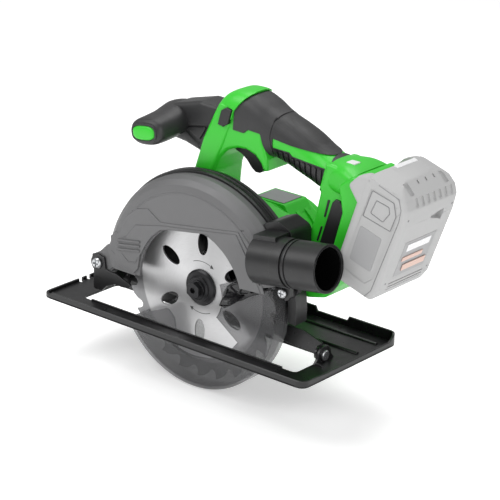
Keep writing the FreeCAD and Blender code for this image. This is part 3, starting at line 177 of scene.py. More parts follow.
def turned_steel(name, colour, rough, dress, sheen_fan_depth=0.30):
    """Steel ground round the Y axis: fine rings, and a soft fan of painted highlight and shade in the base
    colour.
    """
    t = Tree(name)
    x, y, z = t.split()
    radius = t.math("SQRT", t.math("ADD", t.math("MULTIPLY", x, x), t.math("MULTIPLY", z, z)))
    turn = t.math("ARCTAN2", z, x)
    ring_vector = t.add("CombineXYZ", None, X=t.math("MULTIPLY", radius, 900.0),
                        Y=t.math("MULTIPLY", turn, 1.2), Z=0.0)
    rings = t.noise(4.0, 3.0, ring_vector.outputs[0])
    # Painted reflection: the colour is brightened and darkened round the turn like a fan of highlights.
    fan = t.math("COSINE", t.math("ADD", t.math("MULTIPLY", turn, 2.0), 0.9))
    fan = t.ramp(fan, -1.0, 1.0, 1.0 - sheen_fan_depth, 1.0)
    tone = t.math("MULTIPLY", t.ramp(rings, 0.25, 0.75, 0.86, 1.0), fan)
    base = t.mix(1.0, colour, t.add("CombineXYZ", None, X=tone, Y=tone, Z=tone).outputs[0], "MULTIPLY")
    base = dress(t, base, radius, turn)
    bump = t.add("Bump", None, Strength=0.12, Distance=0.0001)
    t.feed(bump.inputs["Height"], rings)
    t.feed(bump.inputs["Normal"], t.add("Bevel", {"samples": 4}, Radius=0.15 * MM).outputs[0])
    gloss = t.ramp(t.noise(60.0), 0.3, 0.7, rough - 0.05, rough + 0.08)
    gloss = t.math("ADD", gloss, t.math("MULTIPLY", rings, 0.06))
    shader = t.add("BsdfPrincipled", None, Metallic=0.85)
    shader.inputs["Anisotropic"].default_value = 0.4
    t.feed(shader.inputs["Base Color"], base)
    t.feed(shader.inputs["Roughness"], gloss)
    t.feed(shader.inputs["Normal"], bump.outputs[0])
    t.tree.links.new(shader.outputs[0], t.output.inputs["Surface"])
    return t.material


def smoked(name, clear, tint, dark=(0.03, 0.03, 0.032)):
    """Smoked clear plastic: part see-through, part glossy dark sheen, darker seen edge-on."""
    t = Tree(name)
    facing = t.add("LayerWeight", None, Blend=0.35).outputs["Facing"]
    scratches = t.noise(700.0, 4.0)
    through = t.add("BsdfTransparent")
    through.inputs["Color"].default_value = (*tint, 1.0)
    bump = t.add("Bump", None, Strength=0.05, Distance=0.0002)
    t.feed(bump.inputs["Height"], scratches)
    body = t.add("BsdfPrincipled")
    t.feed(body.inputs["Base Color"], t.mix(t.noise(60.0), dark, tuple(c * 1.8 for c in dark)))
    t.feed(body.inputs["Roughness"], t.ramp(t.noise(90.0), 0.3, 0.7, 0.10, 0.22))
    t.feed(body.inputs["Normal"], bump.outputs[0])
    solid = t.ramp(facing, 0.0, 0.9, 1.0 - clear, 0.97)
    mixed = t.add("MixShader")
    t.feed(mixed.inputs[0], solid)
    t.tree.links.new(through.outputs[0], mixed.inputs[1])
    t.tree.links.new(body.outputs[0], mixed.inputs[2])
    t.tree.links.new(mixed.outputs[0], t.output.inputs["Surface"])
    return t.material


ARROW_RADIUS, ARROW_LINE = 23.5 * MM, 0.28 * MM
ARROW_STARTS = (1.15, -1.95)
ARROW_LENGTH, ARROW_HEAD, HEAD_SLOPE = 0.85, 0.16, 12.5 * MM
PRINT = (0.06, 0.06, 0.06)


def arrows(t, base, radius, turn):
    """Blade print: a darker band by the teeth and two thin rotation arrows."""
    rim = t.ramp(radius, 66.8 * MM, 67.4 * MM)
    base = t.mix(t.math("MULTIPLY", rim, 0.62), base, (0.10, 0.10, 0.105))
    for start in ARROW_STARTS:
        line = t.math("COMPARE", radius, ARROW_RADIUS)
        t.tree.nodes[-1].inputs[2].default_value = ARROW_LINE
        along = t.math("SUBTRACT", turn, start)
        inside = t.math("MULTIPLY", t.math("GREATER_THAN", along, 0.0),
                        t.math("LESS_THAN", along, ARROW_LENGTH))
        base = t.mix(t.math("MULTIPLY", line, inside), base, PRINT)
        tip = t.math("SUBTRACT", 0.0, along)
        half = t.math("MULTIPLY", t.math("SUBTRACT", ARROW_HEAD, tip), HEAD_SLOPE)
        off = t.math("ABSOLUTE", t.math("SUBTRACT", radius, ARROW_RADIUS))
        wedge = t.math("MULTIPLY", t.math("LESS_THAN", off, half), t.math("GREATER_THAN", tip, 0.0))
        wedge = t.math("MULTIPLY", wedge, t.math("LESS_THAN", tip, ARROW_HEAD))
        base = t.mix(wedge, base, PRINT)
    return base


def fine_lines(t, base):
    """Fine moulded lines along the sleeve."""
    x, y, z = t.split()
    wave = t.math("SINE", t.math("MULTIPLY", t.math("ADD", z, t.math("MULTIPLY", x, 0.42)), 4200.0))
    return t.mix(t.math("MULTIPLY", t.ramp(wave, 0.2, 1.0), 0.35), base, (0.012, 0.012, 0.012))


M = {
    "guard_grey": surface("cast guard grey", rgb("6A6A6B"), 0.46, 0.1, grain=2600, bump=0.10, mottling=0.05,
                          edge=0.5),
    "black_plastic": surface("black moulded plastic", rgb("1C1C1D"), 0.36, bump=0.10, grain=2200, edge=0.4,
                             edge_wear_and_highlight=0.5, edge_wear_and_highlight_colour=rgb("58585A")),
    "green_plastic": surface("green moulded plastic", rgb("33C62C"), 0.34, bump=0.05, grain=2400,
                             mottling=0.04, edge=0.6, edge_wear_and_highlight=0.25, edge_wear_and_highlight_colour=rgb("7BE070")),
    "grip_rubber": surface("grip rubber", rgb("303031"), 0.5, bump=0.35, grain=3200, mottling=0.06, edge=0.5,
                           edge_wear_and_highlight=0.3, edge_wear_and_highlight_colour=rgb("5C5C5C")),
    "grey_plastic": surface("grey moulded plastic", rgb("4A4A4B"), 0.5, bump=0.2, grain=2400),
    "black_steel": surface("black coated steel", rgb("151516"), 0.30, 0.0, grain=2400, bump=0.04, edge=0.5,
                           edge_wear_and_highlight=0.75, edge_wear_and_highlight_colour=rgb("77787A"), mottling=0.1),
    "blade_steel": turned_steel("ground blade steel", rgb("D2D2D3"), 0.30, arrows),
    "dark_steel": surface("dark steel", rgb("2A2A2C"), 0.3, 0.6, grain=2600, bump=0.1, edge_wear_and_highlight=0.5,
                          edge_wear_and_highlight_colour=rgb("8A8A8C")),
    "zinc_steel": surface("zinc plated steel", rgb("C4C6C8"), 0.24, 0.95, grain=2000, bump=0.06, edge_wear_and_highlight=0.2),
    "smoked_clear": smoked("smoked clear guard", 0.84, (0.86, 0.86, 0.865), (0.085, 0.085, 0.087)),
    "cast_alloy": surface("die cast alloy", rgb("8F9092"), 0.42, 0.75, grain=2000, bump=0.25),
    "gear_steel": surface("hobbed gear steel", rgb("8C8B88"), 0.28, 0.9, grain=2600, bump=0.1),
    "laminations": surface("motor laminations", rgb("5A5B5E"), 0.4, 0.8, grain=1800, bump=0.2),
    "copper": surface("enamelled copper", rgb("B4632E"), 0.3, 0.9, grain=1800, bump=0.3),
    "fan_nylon": surface("fan nylon", rgb("2B2B2C"), 0.5, bump=0.1),
    "circuit_board": surface("circuit board", rgb("1F5A35"), 0.4, bump=0.3, grain=900),
    "contact_brass": surface("contact brass", rgb("C9A54E"), 0.25, 0.95, bump=0.06),
    "cell_can": surface("cell can", rgb("5B7FA6"), 0.35, 0.2, bump=0.05),
    "battery_shell": surface("battery shell grey", rgb("B4B4B4"), 0.6, bump=0.08, grain=2600, mottling=0.03,
                             edge_wear_and_highlight=0.4, edge_wear_and_highlight_colour=rgb("E2E2E2"), specular=0.3),
    "label_grey": surface("blank label", rgb("8D8E90"), 0.3, bump=0.04, edge_wear_and_highlight=0.1),
    "window_white": surface("indicator window", rgb("E9E9EA"), 0.25, bump=0.02, edge_wear_and_highlight=0.1),
}

slot_of = {row["node"]: row["material_slot"] for row in frame["record"]["subparts"]}
for name, obj in nodes.items():
    slot = slot_of.get(name)
    if slot in M:
        obj.data.materials.clear()
        obj.data.materials.append(M[slot])


# -------- mesh helpers, all in millimetres
def finish_mesh(name, verts, faces, material, sharp=34.0, weighted=True):
    mesh = bpy.data.meshes.new(name)
    mesh.from_pydata([(x * MM, y * MM, z * MM) for x, y, z in verts], [], faces)
    mesh.validate()
    obj = bpy.data.objects.new(name, mesh)
    scene.collection.objects.link(obj)
    mesh.materials.append(material)
    return dress_mesh(obj, sharp, weighted)


def dress_mesh(obj, sharp=34.0, weighted=True):
    mesh = obj.data
    mesh.polygons.foreach_set("use_smooth", [True] * len(mesh.polygons))
    mesh.set_sharp_from_angle(angle=math.radians(sharp))
    if weighted:
        obj.modifiers.new("even shading", "WEIGHTED_NORMAL").keep_sharp = True
    return obj


def rounded(points, radius, steps=5):
    """Closed outline with its corners turned into arcs; a third number gives a corner its own radius."""
    out = []
    count = len(points)
    for index, point in enumerate(points):
        own = point[2] if len(point) > 2 else radius
        here = Vector(point[:2])
        before = Vector(points[index - 1][:2]) - here
        after = Vector(points[(index + 1) % count][:2]) - here
        angle = before.angle(after)
        if own <= 0 or angle > 3.1:
            out.append((here.x, here.y))
            continue
        reach = min(own / math.tan(angle / 2), before.length * 0.45, after.length * 0.45)
        start = here + before.normalized() * reach
        end = here + after.normalized() * reach
        for step in range(steps + 1):
            t = step / steps
            p = start * (1 - t) ** 2 + here * (2 * t * (1 - t)) + end * t * t
            out.append((p.x, p.y))
    return out


def signed_area(outline):
    return sum(a[0] * b[1] - b[0] * a[1] for a, b in zip(outline, outline[1:] + outline[:1])) / 2


def inset(outline, distance):
    """Outline moved to its left by the distance, with mitred corners."""
    out = []
    count = len(outline)
    for index in range(count):
        here = Vector(outline[index])
        along_a = (here - Vector(outline[index - 1])).normalized()
        along_b = (Vector(outline[(index + 1) % count]) - here).normalized()
        normal_a = Vector((-along_a.y, along_a.x))
        middle = normal_a + Vector((-along_b.y, along_b.x))
        if middle.length < 1e-6:
            middle = normal_a
        middle.normalize()
        here = here + middle * (distance / max(0.5, middle.dot(normal_a)))
        out.append((here.x, here.y))
    return out


AXES = {"X": lambda u, v, w: (w, u, v), "Y": lambda u, v, w: (u, w, v), "Z": lambda u, v, w: (u, v, w)}


def plate(name, outlines, span, bevel, material, axis="Y", rings=4, sharp=34.0, low_bevel=None):
    """Slab with holes and rolled edges: outlines lie across the axis, span is its thickness along it."""
    clean = []
    for index, outline in enumerate(outlines):
        outline = list(outline)
        if (signed_area(outline) > 0) != (index == 0):
            outline.reverse()
        pairs = zip(outline, outline[1:] + outline[:1])
        clean.append([p for p, q in pairs if (Vector(p) - Vector(q)).length > 1e-4])
    low, high = span
    start_bevel = bevel if low_bevel is None else low_bevel
    levels = []
    for step in range(rings + 1):
        turn = math.radians(90 * step / rings)
        levels.append((start_bevel * (1 - math.sin(turn)), low + start_bevel * (1 - math.cos(turn))))
    for step in range(rings + 1):
        turn = math.radians(90 * step / rings)
        levels.append((bevel * (1 - math.cos(turn)), high - bevel * (1 - math.sin(turn))))
    place = AXES[axis]
    verts = []
    faces = []
    starts = []
    for distance, height in levels:
        row = []
        for outline in clean:
            row.append(len(verts))
            verts += [place(u, v, height) for u, v in inset(outline, distance)]
        starts.append(row)
    flip = axis == "Y"
    for ring in range(len(levels) - 1):
        for which, outline in enumerate(clean):
            a, b = starts[ring][which], starts[ring + 1][which]
            count = len(outline)
            for i in range(count):
                j = (i + 1) % count
                face = (a + i, a + j, b + j, b + i)
                faces.append(face[::-1] if flip else face)
    for ring, down in ((0, True), (len(levels) - 1, False)):
        flat = []
        index = []
        for which, outline in enumerate(clean):
            points = inset(outline, levels[ring][0])
            flat.append([Vector((u, v, 0)) for u, v in points])
            index += [starts[ring][which] + i for i in range(len(points))]
        triangles = tessellate_polygon(flat)
        for tri in triangles:
            p = [verts_2d(flat, k) for k in tri]
            turn = (p[1] - p[0]).cross(p[2] - p[0]).z
            corner = [index[k] for k in tri]
            up_facing = turn > 0
            if up_facing == down:
                corner.reverse()
            faces.append(tuple(corner[::-1] if flip else corner))
    return finish_mesh(name, verts, faces, material, sharp)


def verts_2d(lists, k):
    for points in lists:
        if k < len(points):
            return points[k]
        k -= len(points)
    return None


def loft(name, sections, material, sharp=50.0, weighted=False):
    """Skin over closed sections of equal length, with flat ends."""
    count = len(sections[0])
    verts = [point for section in sections for point in section]
    faces = []
    for ring in range(len(sections) - 1):
        for i in range(count):
            j = (i + 1) % count
            faces.append((ring * count + i, ring * count + j, (ring + 1) * count + j, (ring + 1) * count + i))
    faces.append(tuple(reversed(range(count))))
    last = (len(sections) - 1) * count
    faces.append(tuple(last + i for i in range(count)))
    obj = finish_mesh(name, verts, faces, material, sharp, weighted)
    work = bmesh.new()
    work.from_mesh(obj.data)
    bmesh.ops.recalc_face_normals(work, faces=work.faces)
    work.to_mesh(obj.data)
    work.free()
    return obj


def smooth_rows(rows, steps=5):
    """Rows of numbers with soft in-between rows (Catmull-Rom)."""
    out = []
    for i in range(len(rows) - 1):
        p0, p1, p2 = rows[max(i - 1, 0)], rows[i], rows[i + 1]
        p3 = rows[min(i + 2, len(rows) - 1)]
        for step in range(steps):
            t = step / steps
            row = []
            for a, b, c, d in zip(p0, p1, p2, p3):
                bend = (2 * a - 5 * b + 4 * c - d) * t * t + (3 * b - a - 3 * c + d) * t ** 3
                row.append(0.5 * (2 * b + (c - a) * t + bend))
            out.append(tuple(row))
    out.append(tuple(rows[-1]))
    return out


def superellipse(centre, u, v, power, count=72):
    points = []
    for index in range(count):
        turn = 2 * math.pi * index / count
        c, s = math.cos(turn), math.sin(turn)
        cu = math.copysign(abs(c) ** (2 / power), c)
        su = math.copysign(abs(s) ** (2 / power), s)
        points.append(tuple(centre[k] + u[k] * cu + v[k] * su for k in range(3)))
    return points


def revolve(name, profile, root, axis, material, steps=96, sharp=34.0):
    """Surface turned about an axis; the profile gives (radius, distance along the axis)."""
    axis = Vector(axis).normalized()
    side = axis.cross(Vector((0, 1, 0)))
    if side.length < 0.1:
        side = Vector((0, 0, 1)).cross(axis)
    side.normalize()
    other = axis.cross(side)
    verts = []
    for index in range(steps):
        turn = 2 * math.pi * index / steps
        out = side * math.cos(turn) + other * math.sin(turn)
        verts += [tuple(Vector(root) + axis * d + out * r) for r, d in profile]
    count = len(profile)
    faces = []
    for index in range(steps):
        a, b = index * count, ((index + 1) % steps) * count
        for i in range(count):
            j = (i + 1) % count
            faces.append((a + i, a + j, b + j, b + i))
    obj = finish_mesh(name, verts, faces, material, sharp)
    work = bmesh.new()
    work.from_mesh(obj.data)
    bmesh.ops.remove_doubles(work, verts=work.verts, dist=1e-6)
    bmesh.ops.recalc_face_normals(work, faces=work.faces)
    work.to_mesh(obj.data)
    work.free()
    return dress_mesh(obj, sharp, False)


def combine(obj, tools, operation, sharp=34.0):
    """Exact boolean of obj with the tool meshes, which are then removed."""
    for tool in tools:
        modifier = obj.modifiers.new("cut", "BOOLEAN")
        modifier.operation = operation
        modifier.solver = "EXACT"
        modifier.object = tool
    bpy.context.view_layer.update()
    ready = obj.evaluated_get(bpy.context.evaluated_depsgraph_get())
    mesh = bpy.data.meshes.new_from_object(ready)
    old = obj.data
    obj.modifiers.clear()
    obj.data = mesh
    bpy.data.meshes.remove(old)
    for tool in tools:
        data = tool.data
        bpy.data.objects.remove(tool)
        bpy.data.meshes.remove(data)
    return dress_mesh(obj, sharp)


def swap_material(obj, material):
    obj.data.materials.clear()
    obj.data.materials.append(material)
    return obj


def polar(r, turn, x=0.0, z=0.0):
    turn = math.radians(turn)
    return (x + r * math.cos(turn), z + r * math.sin(turn))


def strip(points, width):
    """Closed outline round a path, like a rib drawn with a pen of that width."""
    left = []
    right = []
    for index, point in enumerate(points):
        before = Vector(points[max(index - 1, 0)])
        after = Vector(points[min(index + 1, len(points) - 1)])
        along = (after - before).normalized()
        normal = Vector((-along.y, along.x)) * (width / 2)
        left.append(tuple(Vector(point) + normal))
        right.append(tuple(Vector(point) - normal))
    return left + right[::-1]


def inset_ccw(outline, distance):
    outline = list(outline)
    if signed_area(outline) < 0:
        outline.reverse()
    return inset(outline, distance)


# -------- handle
HANDLE_Y = 42
TOOL_SPAN = (8, 76)
PACK_TILT = math.radians(17)
PACK_X, PACK_Z = 150, 112
LOCK_X, LOCK_Z = 3.2, 147.8


def pack_point(a, b):
    """Point given along the battery's own axes: a away from the handle, b up its rail."""
    c, s = math.cos(PACK_TILT), math.sin(PACK_TILT)
    return (PACK_X + a * c + b * s, PACK_Z - a * s + b * c)


GRIP = [(-11, 151.5, -13, 127, 15.0, 3.0), (-8.5, 156.6, -11, 124, 17.6, 3.2),
        (-3, 163.0, -5, 123, 18.8, 3.4),
        (4, 167.0, 2, 123, 19.4, 3.4), (10, 168.4, 8, 123, 20, 3.4), (22, 168.4, 18, 124, 20, 3.2),
        (34, 164.3, 31, 124.5, 20, 3.0), (44, 159.5, 40.5, 119, 19.5, 2.8),
        (55, 155.8, 50.5, 120.5, 18.2, 2.5),
        (68, 151.8, 63, 117.5, 17.8, 2.4), (82, 146.2, 76, 113, 17.6, 2.4), (95, 138.8, 88, 109.4, 17.6, 2.4),
        (106, 133.9, 99, 106, 18.2, 2.5), (114, 131.3, 107, 104.8, 19, 2.6)]


def grip_skin(name, grow, material):
    sections = []
    for top_x, top_z, low_x, low_z, half, power in smooth_rows(GRIP, 6):
        rise = Vector(((top_x - low_x) / 2, 0, (top_z - low_z) / 2))
        rise = rise * ((rise.length + grow) / rise.length)
        centre = ((top_x + low_x) / 2, HANDLE_Y, (top_z + low_z) / 2)
        sections.append(superellipse(centre, rise, (0, half + grow, 0), power, 96))
    return loft(name, sections, material)


def prism(outline, span=TOOL_SPAN):
    return plate("tool", [outline], span, 0.0, M["dark_steel"], rings=1)


def trimmed_skin(name, grow, material, zone, span=TOOL_SPAN, sharp=40):
    """The grip's skin, kept only inside a side outline."""
    skin = grip_skin(name, grow, material)
    combine(skin, [prism(zone, span)], "INTERSECT", sharp)
    return swap_material(skin, material)


def rib_cutter(material):
    """Nine slanted prisms side by side, as one mesh: the under grip's ribs are cut to them."""
    tools = []
    for index in range(9):
        x = 53.4 + 5.9 * index
        high = 129.2 if index < 3 else 126.4 - 0.08 * (x - 71)
        side = [(x - 1.9, 95), (x + 1.9, 95), (x + 2.5, high), (x - 1.3, high + 0.4)]
        tools.append(prism(rounded(side, 0.8, 2)))
    verts = []
    faces = []
    for tool in tools:
        base = len(verts)
        verts += [tuple(c / MM for c in v.co) for v in tool.data.vertices]
        faces += [tuple(base + k for k in p.vertices) for p in tool.data.polygons]
    for tool in tools:
        bpy.data.objects.remove(tool)
    return finish_mesh("tool", verts, faces, material)


def build_handle():
    green = M["green_plastic"]
    black = M["black_plastic"]
    shape = [(30, 160, 5), (22, 160.5, 8), (6, 159.5, 8), (-4, 154.5, 8), (-9, 147, 10), (-21.5, 124, 12),
             (-31, 93, 12), (-46, 52, 3), (-38, 30, 6), (-20, 10, 5), (0, 0.6, 5), (36, 2, 5), (55, 10.6, 3),
             (96, 10.6, 5), (113, 15, 6), (124.5, 28, 8), (149.6, 111, 3), (139, 127.5, 5), (112, 131.5, 4),
             (107, 131, 3),
             (101, 107, 2), (103, 105.5, 5), (98, 80, 12), (87, 52, 6), (70, 50, 4), (50, 61, 8), (18, 68, 4),
             (-10, 72, 4), (-10, 96, 14), (-3.5, 110, 10), (4, 118.5, 8), (14, 122.5, 6), (24, 123.5, 5),
             (34, 120.5, 5), (40.5, 114.5, 3), (43, 108.5, 1.6), (47.5, 109.5, 2), (47, 120, 4), (42, 134, 6),
             (40, 158, 5)]
    body = plate("handle_shell", [rounded(shape, 4, 6)], (22, 62), 3.2, green, rings=5)
    lever_room = plate("tool", [rounded([(1, 112), (4, 134), (46, 134), (46, 104), (20, 104)], 1)],
                       (34.2, 49.8), 0.5, green, rings=1)
    combine(body, [lever_room], "DIFFERENCE", 24)
    swap_material(body, green)

    head_zone = [(10.5, 138), (22, 137.6), (26.4, 141.6), (39.2, 140.8), (42.4, 131.1), (46.8, 120),
                 (51, 113),
                 (50.4, 128), (48.6, 140), (49.8, 152), (56, 170), (30, 178), (24.5, 171.5), (17.4, 163),
                 (11.4, 154.5)]
    combine(body, [prism(rounded(head_zone, 0.8, 2))], "DIFFERENCE", 24)
    swap_material(body, green)
    arch_side = [(-46, 52, 0.8), (-31, 93, 10), (-21.5, 124, 12), (-9.6, 150, 8), (-5, 158.5, 4),
                 (11, 158.5, 2), (9.6, 150, 5), (6.8, 139.9, 5), (0.4, 121.8, 5), (-4.5, 111, 5),
                 (-10, 97, 5), (-12, 72, 0.8)]
    arch = []
    for label, span, low_bevel, high_bevel in (("near", (20.7, 27), 2.6, 0.2), ("far", (57, 63.3), 0.2, 2.6)):
        arch.append(plate("arch_band_" + label, [rounded(arch_side, 1, 6)], span, high_bevel, green, rings=4,
                          low_bevel=low_bevel))
    crown_zone = [(-20, 147), (-20, 182), (24.5, 182), (24.5, 171.5), (17.4, 163), (11.4, 154.5), (9.4, 147)]
    crown = trimmed_skin("arch_crown", 2.4, green, rounded(crown_zone, 0.4, 2))
    lock_hole = [polar(r + 0.6, turn, LOCK_X, LOCK_Z) for r, turn in
                 ((6.6, 125), (8.7, 81), (10.4, 46), (6.6, -54), (8.7, -99), (10.4, -134))]
    combine(crown, [prism(lock_hole, (10, 74))], "DIFFERENCE", 40)
    arch.append(swap_material(crown, green))
    core_zone = [(13, 172), (13, 139), (24, 139), (46, 124), (50.8, 124), (50.8, 100), (118, 95), (118, 172)]
    core = trimmed_skin("grip_core", 0.0, green, core_zone, (10, 74), 45)
    head = trimmed_skin("grip_rubber_head", 0.9, M["grip_rubber"], rounded(head_zone, 0.8, 2))
    collar_zone = [(46, 112), (51.8, 112), (51.6, 128), (50.2, 139), (50.8, 152), (58, 172), (52, 172),
                   (46, 152), (44, 139)]
    collar = trimmed_skin("grip_seam", 0.45, black, collar_zone)
    sleeve_zone = [(50.9, 128), (51.3, 139.3), (69, 137.2), (87, 136.2), (106.5, 134.6), (112, 126),
                   (114, 128),
                   (118, 160), (57, 172), (50.6, 152), (49.4, 140)]
    sleeve = trimmed_skin("grip_rubber_sleeve", 0.8, M["sleeve_rubber"], rounded(sleeve_zone, 0.6, 2))
    band_zone = [(50.6, 118), (50.8, 131), (68.6, 131), (71.4, 128.2), (108, 125.3), (107, 108), (101, 98),
                 (50, 100)]
    band = trimmed_skin("under_grip_band", 0.35, black, rounded(band_zone, 0.8, 2))
    ribs = grip_skin("under_grip_ribs", 1.5, black)
    combine(ribs, [rib_cutter(green)], "INTERSECT", 40)
    swap_material(ribs, black)

    foot_side = ((-17.5, 9), (-15, 13.5), (-3.4, 14), (-0.6, -3), (-0.2, -12), (-0.2, -68), (-10, -70),
                 (-13, -20), (-24, 0))
    foot_shape = [pack_point(a, b) for a, b in foot_side]
    foot = plate("battery_saddle", [rounded(foot_shape, 4, 5)], (14.2, 69.8), 2.2, green, rings=5)
    stations = [(107.5, 133.0, 99.5, 106.5, 18.4, 2.5), (112, 133.2, 103.5, 106, 19.2, 2.9),
                (119, 133.6, 112, 106, 21.0, 3.4), (129, 133.2, 122, 107, 24.2, 3.8),
                (139.5, 129.5, 134, 108, 26.8, 4.4)]
    sections = []
    for top_x, top_z, low_x, low_z, half, power in smooth_rows(stations, 5):
        rise = ((top_x - low_x) / 2, 0, (top_z - low_z) / 2)
        centre = ((top_x + low_x) / 2, HANDLE_Y, (top_z + low_z) / 2)
        sections.append(superellipse(centre, rise, (0, half, 0), power, 96))
    shoulder = loft("handle_shoulder", sections, green)
    pieces = [body, core, head, collar, sleeve, band, ribs, foot, shoulder] + arch
    pad_shape = rounded([(121.5, 31), (130, 31), (130, 39.5), (121.5, 39.5)], 1, 3)
    pad = plate("indicator_pad", [pad_shape], (131.5, 133.9), 0.4, M["window_white"], axis="Z", rings=2)
    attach(pad, "saw_body")
    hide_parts("indicator_window")

    panel = [(117.2, 100.5), (120.5, 104), (125, 103.4), (131.6, 97.4), (131.2, 91.5), (120.5, 57),
             (104.6, 57)]
    for label, low, high in (("near", 20.3, 23.5), ("far", 60.5, 63.7)):
        pieces.append(plate("strut_panel_" + label, [rounded(panel, 1.5, 4)], (low, high), 1.2, black))
        frame_y = (21.6, 22.6) if label == "near" else (61.4, 62.4)
        for index, slit in enumerate((((111.8, 101.1), (114.4, 101.9), (110.6, 86.0), (108.6, 85.6)),
                                      ((106.2, 76.9), (108.2, 77.5), (104.4, 63.5), (102.4, 63.3)))):
            pieces.append(plate("strut_slit_%s_%d" % (label, index), [rounded(list(slit), 0.6, 2)], frame_y,
                                0.3, black))
    for piece in pieces:
        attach(piece, "saw_body")
    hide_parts("handle_near_half", "handle_far_half", "battery_foot", "rubber_grip", "under_grip",
                "strut_panels")


# -------- front auxiliary handle
def build_aux_handle():
    rubber = M["aux_rubber"]
    outline = [(-2.0, 153, 1), (-28, 154, 5), (-58, 146, 8), (-74, 136, 8), (-76, 122, 8), (-58, 115.5, 5),
               (-44, 114, 4), (-30, 110.5, 2), (-17.5, 106.5, 1)]
    arm = plate("aux_handle_arm", [rounded(outline, 4, 5)], (23.5, 51.5), 4.2, rubber, rings=5)
    recess = [(-50.5, 129), (-15, 135.6), (-27.5, 114.5)]
    tools = [plate("tool", [rounded(recess, 1.6, 4)], (20, 25.4), 0.0, rubber, rings=1),
             plate("tool", [rounded(recess, 1.6, 4)], (49.8, 56), 0.0, rubber, rings=1)]
    combine(arm, tools, "DIFFERENCE")
    swap_material(arm, rubber)
    inner = [(-43, 128.2), (-20.5, 132.6), (-28.2, 119.6)]
    pads = [plate("aux_recess_pad_%d" % k, [rounded(inner, 1.4, 4)], span, 0.5, M["black_plastic"])
            for k, span in enumerate(((24.2, 26.4), (49.0, 51.0)))]
    rows = [(-60.5, 126.2, 12.6, 7.4, -10.6, 2.5), (-59.8, 126.5, 15.2, 9.8, -9.6, 2.5),
            (-59.2, 127, 17.2, 11.6, -6.2, 2.5), (-58.6, 128, 17.6, 12.2, 4, 2.4),
            (-58, 129.4, 17.6, 12.6, 14, 2.3),
            (-58.6, 131, 17.2, 13.2, 24, 2.4), (-60, 132, 16.6, 13.6, 34, 2.5), (-60, 132, 15.6, 13, 44, 2.5),
            (-60, 132, 13.5, 11, 51, 2.5)]
    tilt = math.radians(9)
    sections = []
    for x, z, half_x, half_z, y, power in smooth_rows(rows, 5):
        u = (half_x * math.cos(tilt), 0, half_x * math.sin(tilt))
        v = (-half_z * math.sin(tilt), 0, half_z * math.cos(tilt))
        sections.append(superellipse((x, y, z), u, v, power, 72))
    grip = loft("aux_handle_grip", sections, rubber)
    ring = []
    for grow, y in ((1.8, -10.2), (1.8, -10.9), (1.2, -11.3), (0.3, -11.3), (0.1, -9.8)):
        u = ((12.2 + grow) * math.cos(tilt), 0, (12.2 + grow) * math.sin(tilt))
        v = (-(6.4 + grow) * math.sin(tilt), 0, (6.4 + grow) * math.cos(tilt))
        ring.append(superellipse((-60.0, y, 126.4), u, v, 2.8, 72))
    lip = loft("aux_handle_lip", ring, rubber)
    cap_sections = []
    for shrink, y in ((0.3, -9.4), (0.3, -11.2), (0.9, -11.9), (2.2, -12.3), (5.0, -12.5)):
        u = ((12.2 - shrink) * math.cos(tilt), 0, (12.2 - shrink) * math.sin(tilt))
        v = (-(6.4 - shrink) * math.sin(tilt), 0, (6.4 - shrink) * math.cos(tilt))
        cap_sections.append(superellipse((-60.0, y, 126.4), u, v, 2.8, 72))
    cap = loft("aux_handle_cap_oval", cap_sections, M["green_plastic"])
    for piece in [arm, grip, lip, cap] + pads:
        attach(piece, "saw_body")
    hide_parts("aux_handle")
    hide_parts("aux_handle_cap")


# -------- upper guard
def arc(r, start, end, step=2.5):
    count = max(2, int(abs(end - start) / step))
    return [polar(r, start + (end - start) * k / count) for k in range(count + 1)]


def build_guard():
    grey = M["guard_grey"]
    face = -16.0
    foot = [(-90.5, 14), (-86.5, 0), (-63, 0), (-58, 6), (-56, 19)]
    lower_edge = [(-33.5, 47.6), (-26, 49.6), (19, 57.1), (30, 49.6)]
    window_left = arc(58.0, 157, 126)
    window_right = arc(58.0, 58, 19)
    pieces = [plate("guard_face", [arc(87.0, 19, 172) + foot + window_left + lower_edge + window_right],
                    (face - 0.35, face + 0.2), 0.3, grey, rings=2)]
    ledge = [(-72.5, 50.5), (-60.5, 60.0), (-48.6, 62.8), (-34.2, 54.2), (50.5, 67.2), (66, 48), (76.5, 30)]
    outline = [(80.5, 20)] + ledge[::-1] + [(-82.5, 31)] + [(-86, 14), (-82.5, 3)] + foot[2:] + window_left
    pieces.append(plate("guard_ledge_upper", [outline + lower_edge + window_right], (face - 1.05, face),
                        0.5, grey,
                        rings=3))
    low = [(49.2, 64.6), (-33.0, 51.6), (-61.8, 45.0), (-72.5, 31.5)]
    outline = [(77, 20), (66.5, 40), (58, 52)] + low + [(-79, 29), (-80, 14),
                                                        (-76, 6)] + foot[2:] + window_left
    pieces.append(plate("guard_ledge_lower", [outline + lower_edge + window_right], (face - 1.7, face), 0.5,
                        grey,
                        rings=3))
    pieces.append(plate("guard_rim_line", [strip(arc(85.8, 27, 146), 0.8)], (face - 0.6, face), 0.2, grey,
                        rings=2))
    for k, (z_left, z_right) in enumerate(((25.4, 29.6), (21.2, 25.6), (17.0, 21.4))):
        outline = [(-81.6, z_left), (-55.6, z_right), (-55.6, z_right + 2.4), (-80.6, z_left + 2.4)]
        pieces.append(plate("guard_rib_%d" % k, [rounded(outline, 0.6, 2)], (face - 3.0, face - 1.4), 0.8,
                            grey, rings=3))
    leg = strip([(-76, 14.5), (-69, 9.4), (-61, 10.8), (-57.6, 16.5)], 1.1)
    pieces.append(plate("guard_leg_line", [leg], (face - 2.2, face - 1.5), 0.3, grey, rings=2))
    for k, (a, b) in enumerate((((62.0, 43), (69.0, 28)), ((66.6, 46), (76.0, 27)))):
        pieces.append(plate("guard_slot_%d" % k, [strip([a, b], 0.9)], (face - 1.85, face - 1.5), 0.1,
                            M["black_plastic"], rings=1))
    for piece in pieces:
        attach(piece, "saw_body")


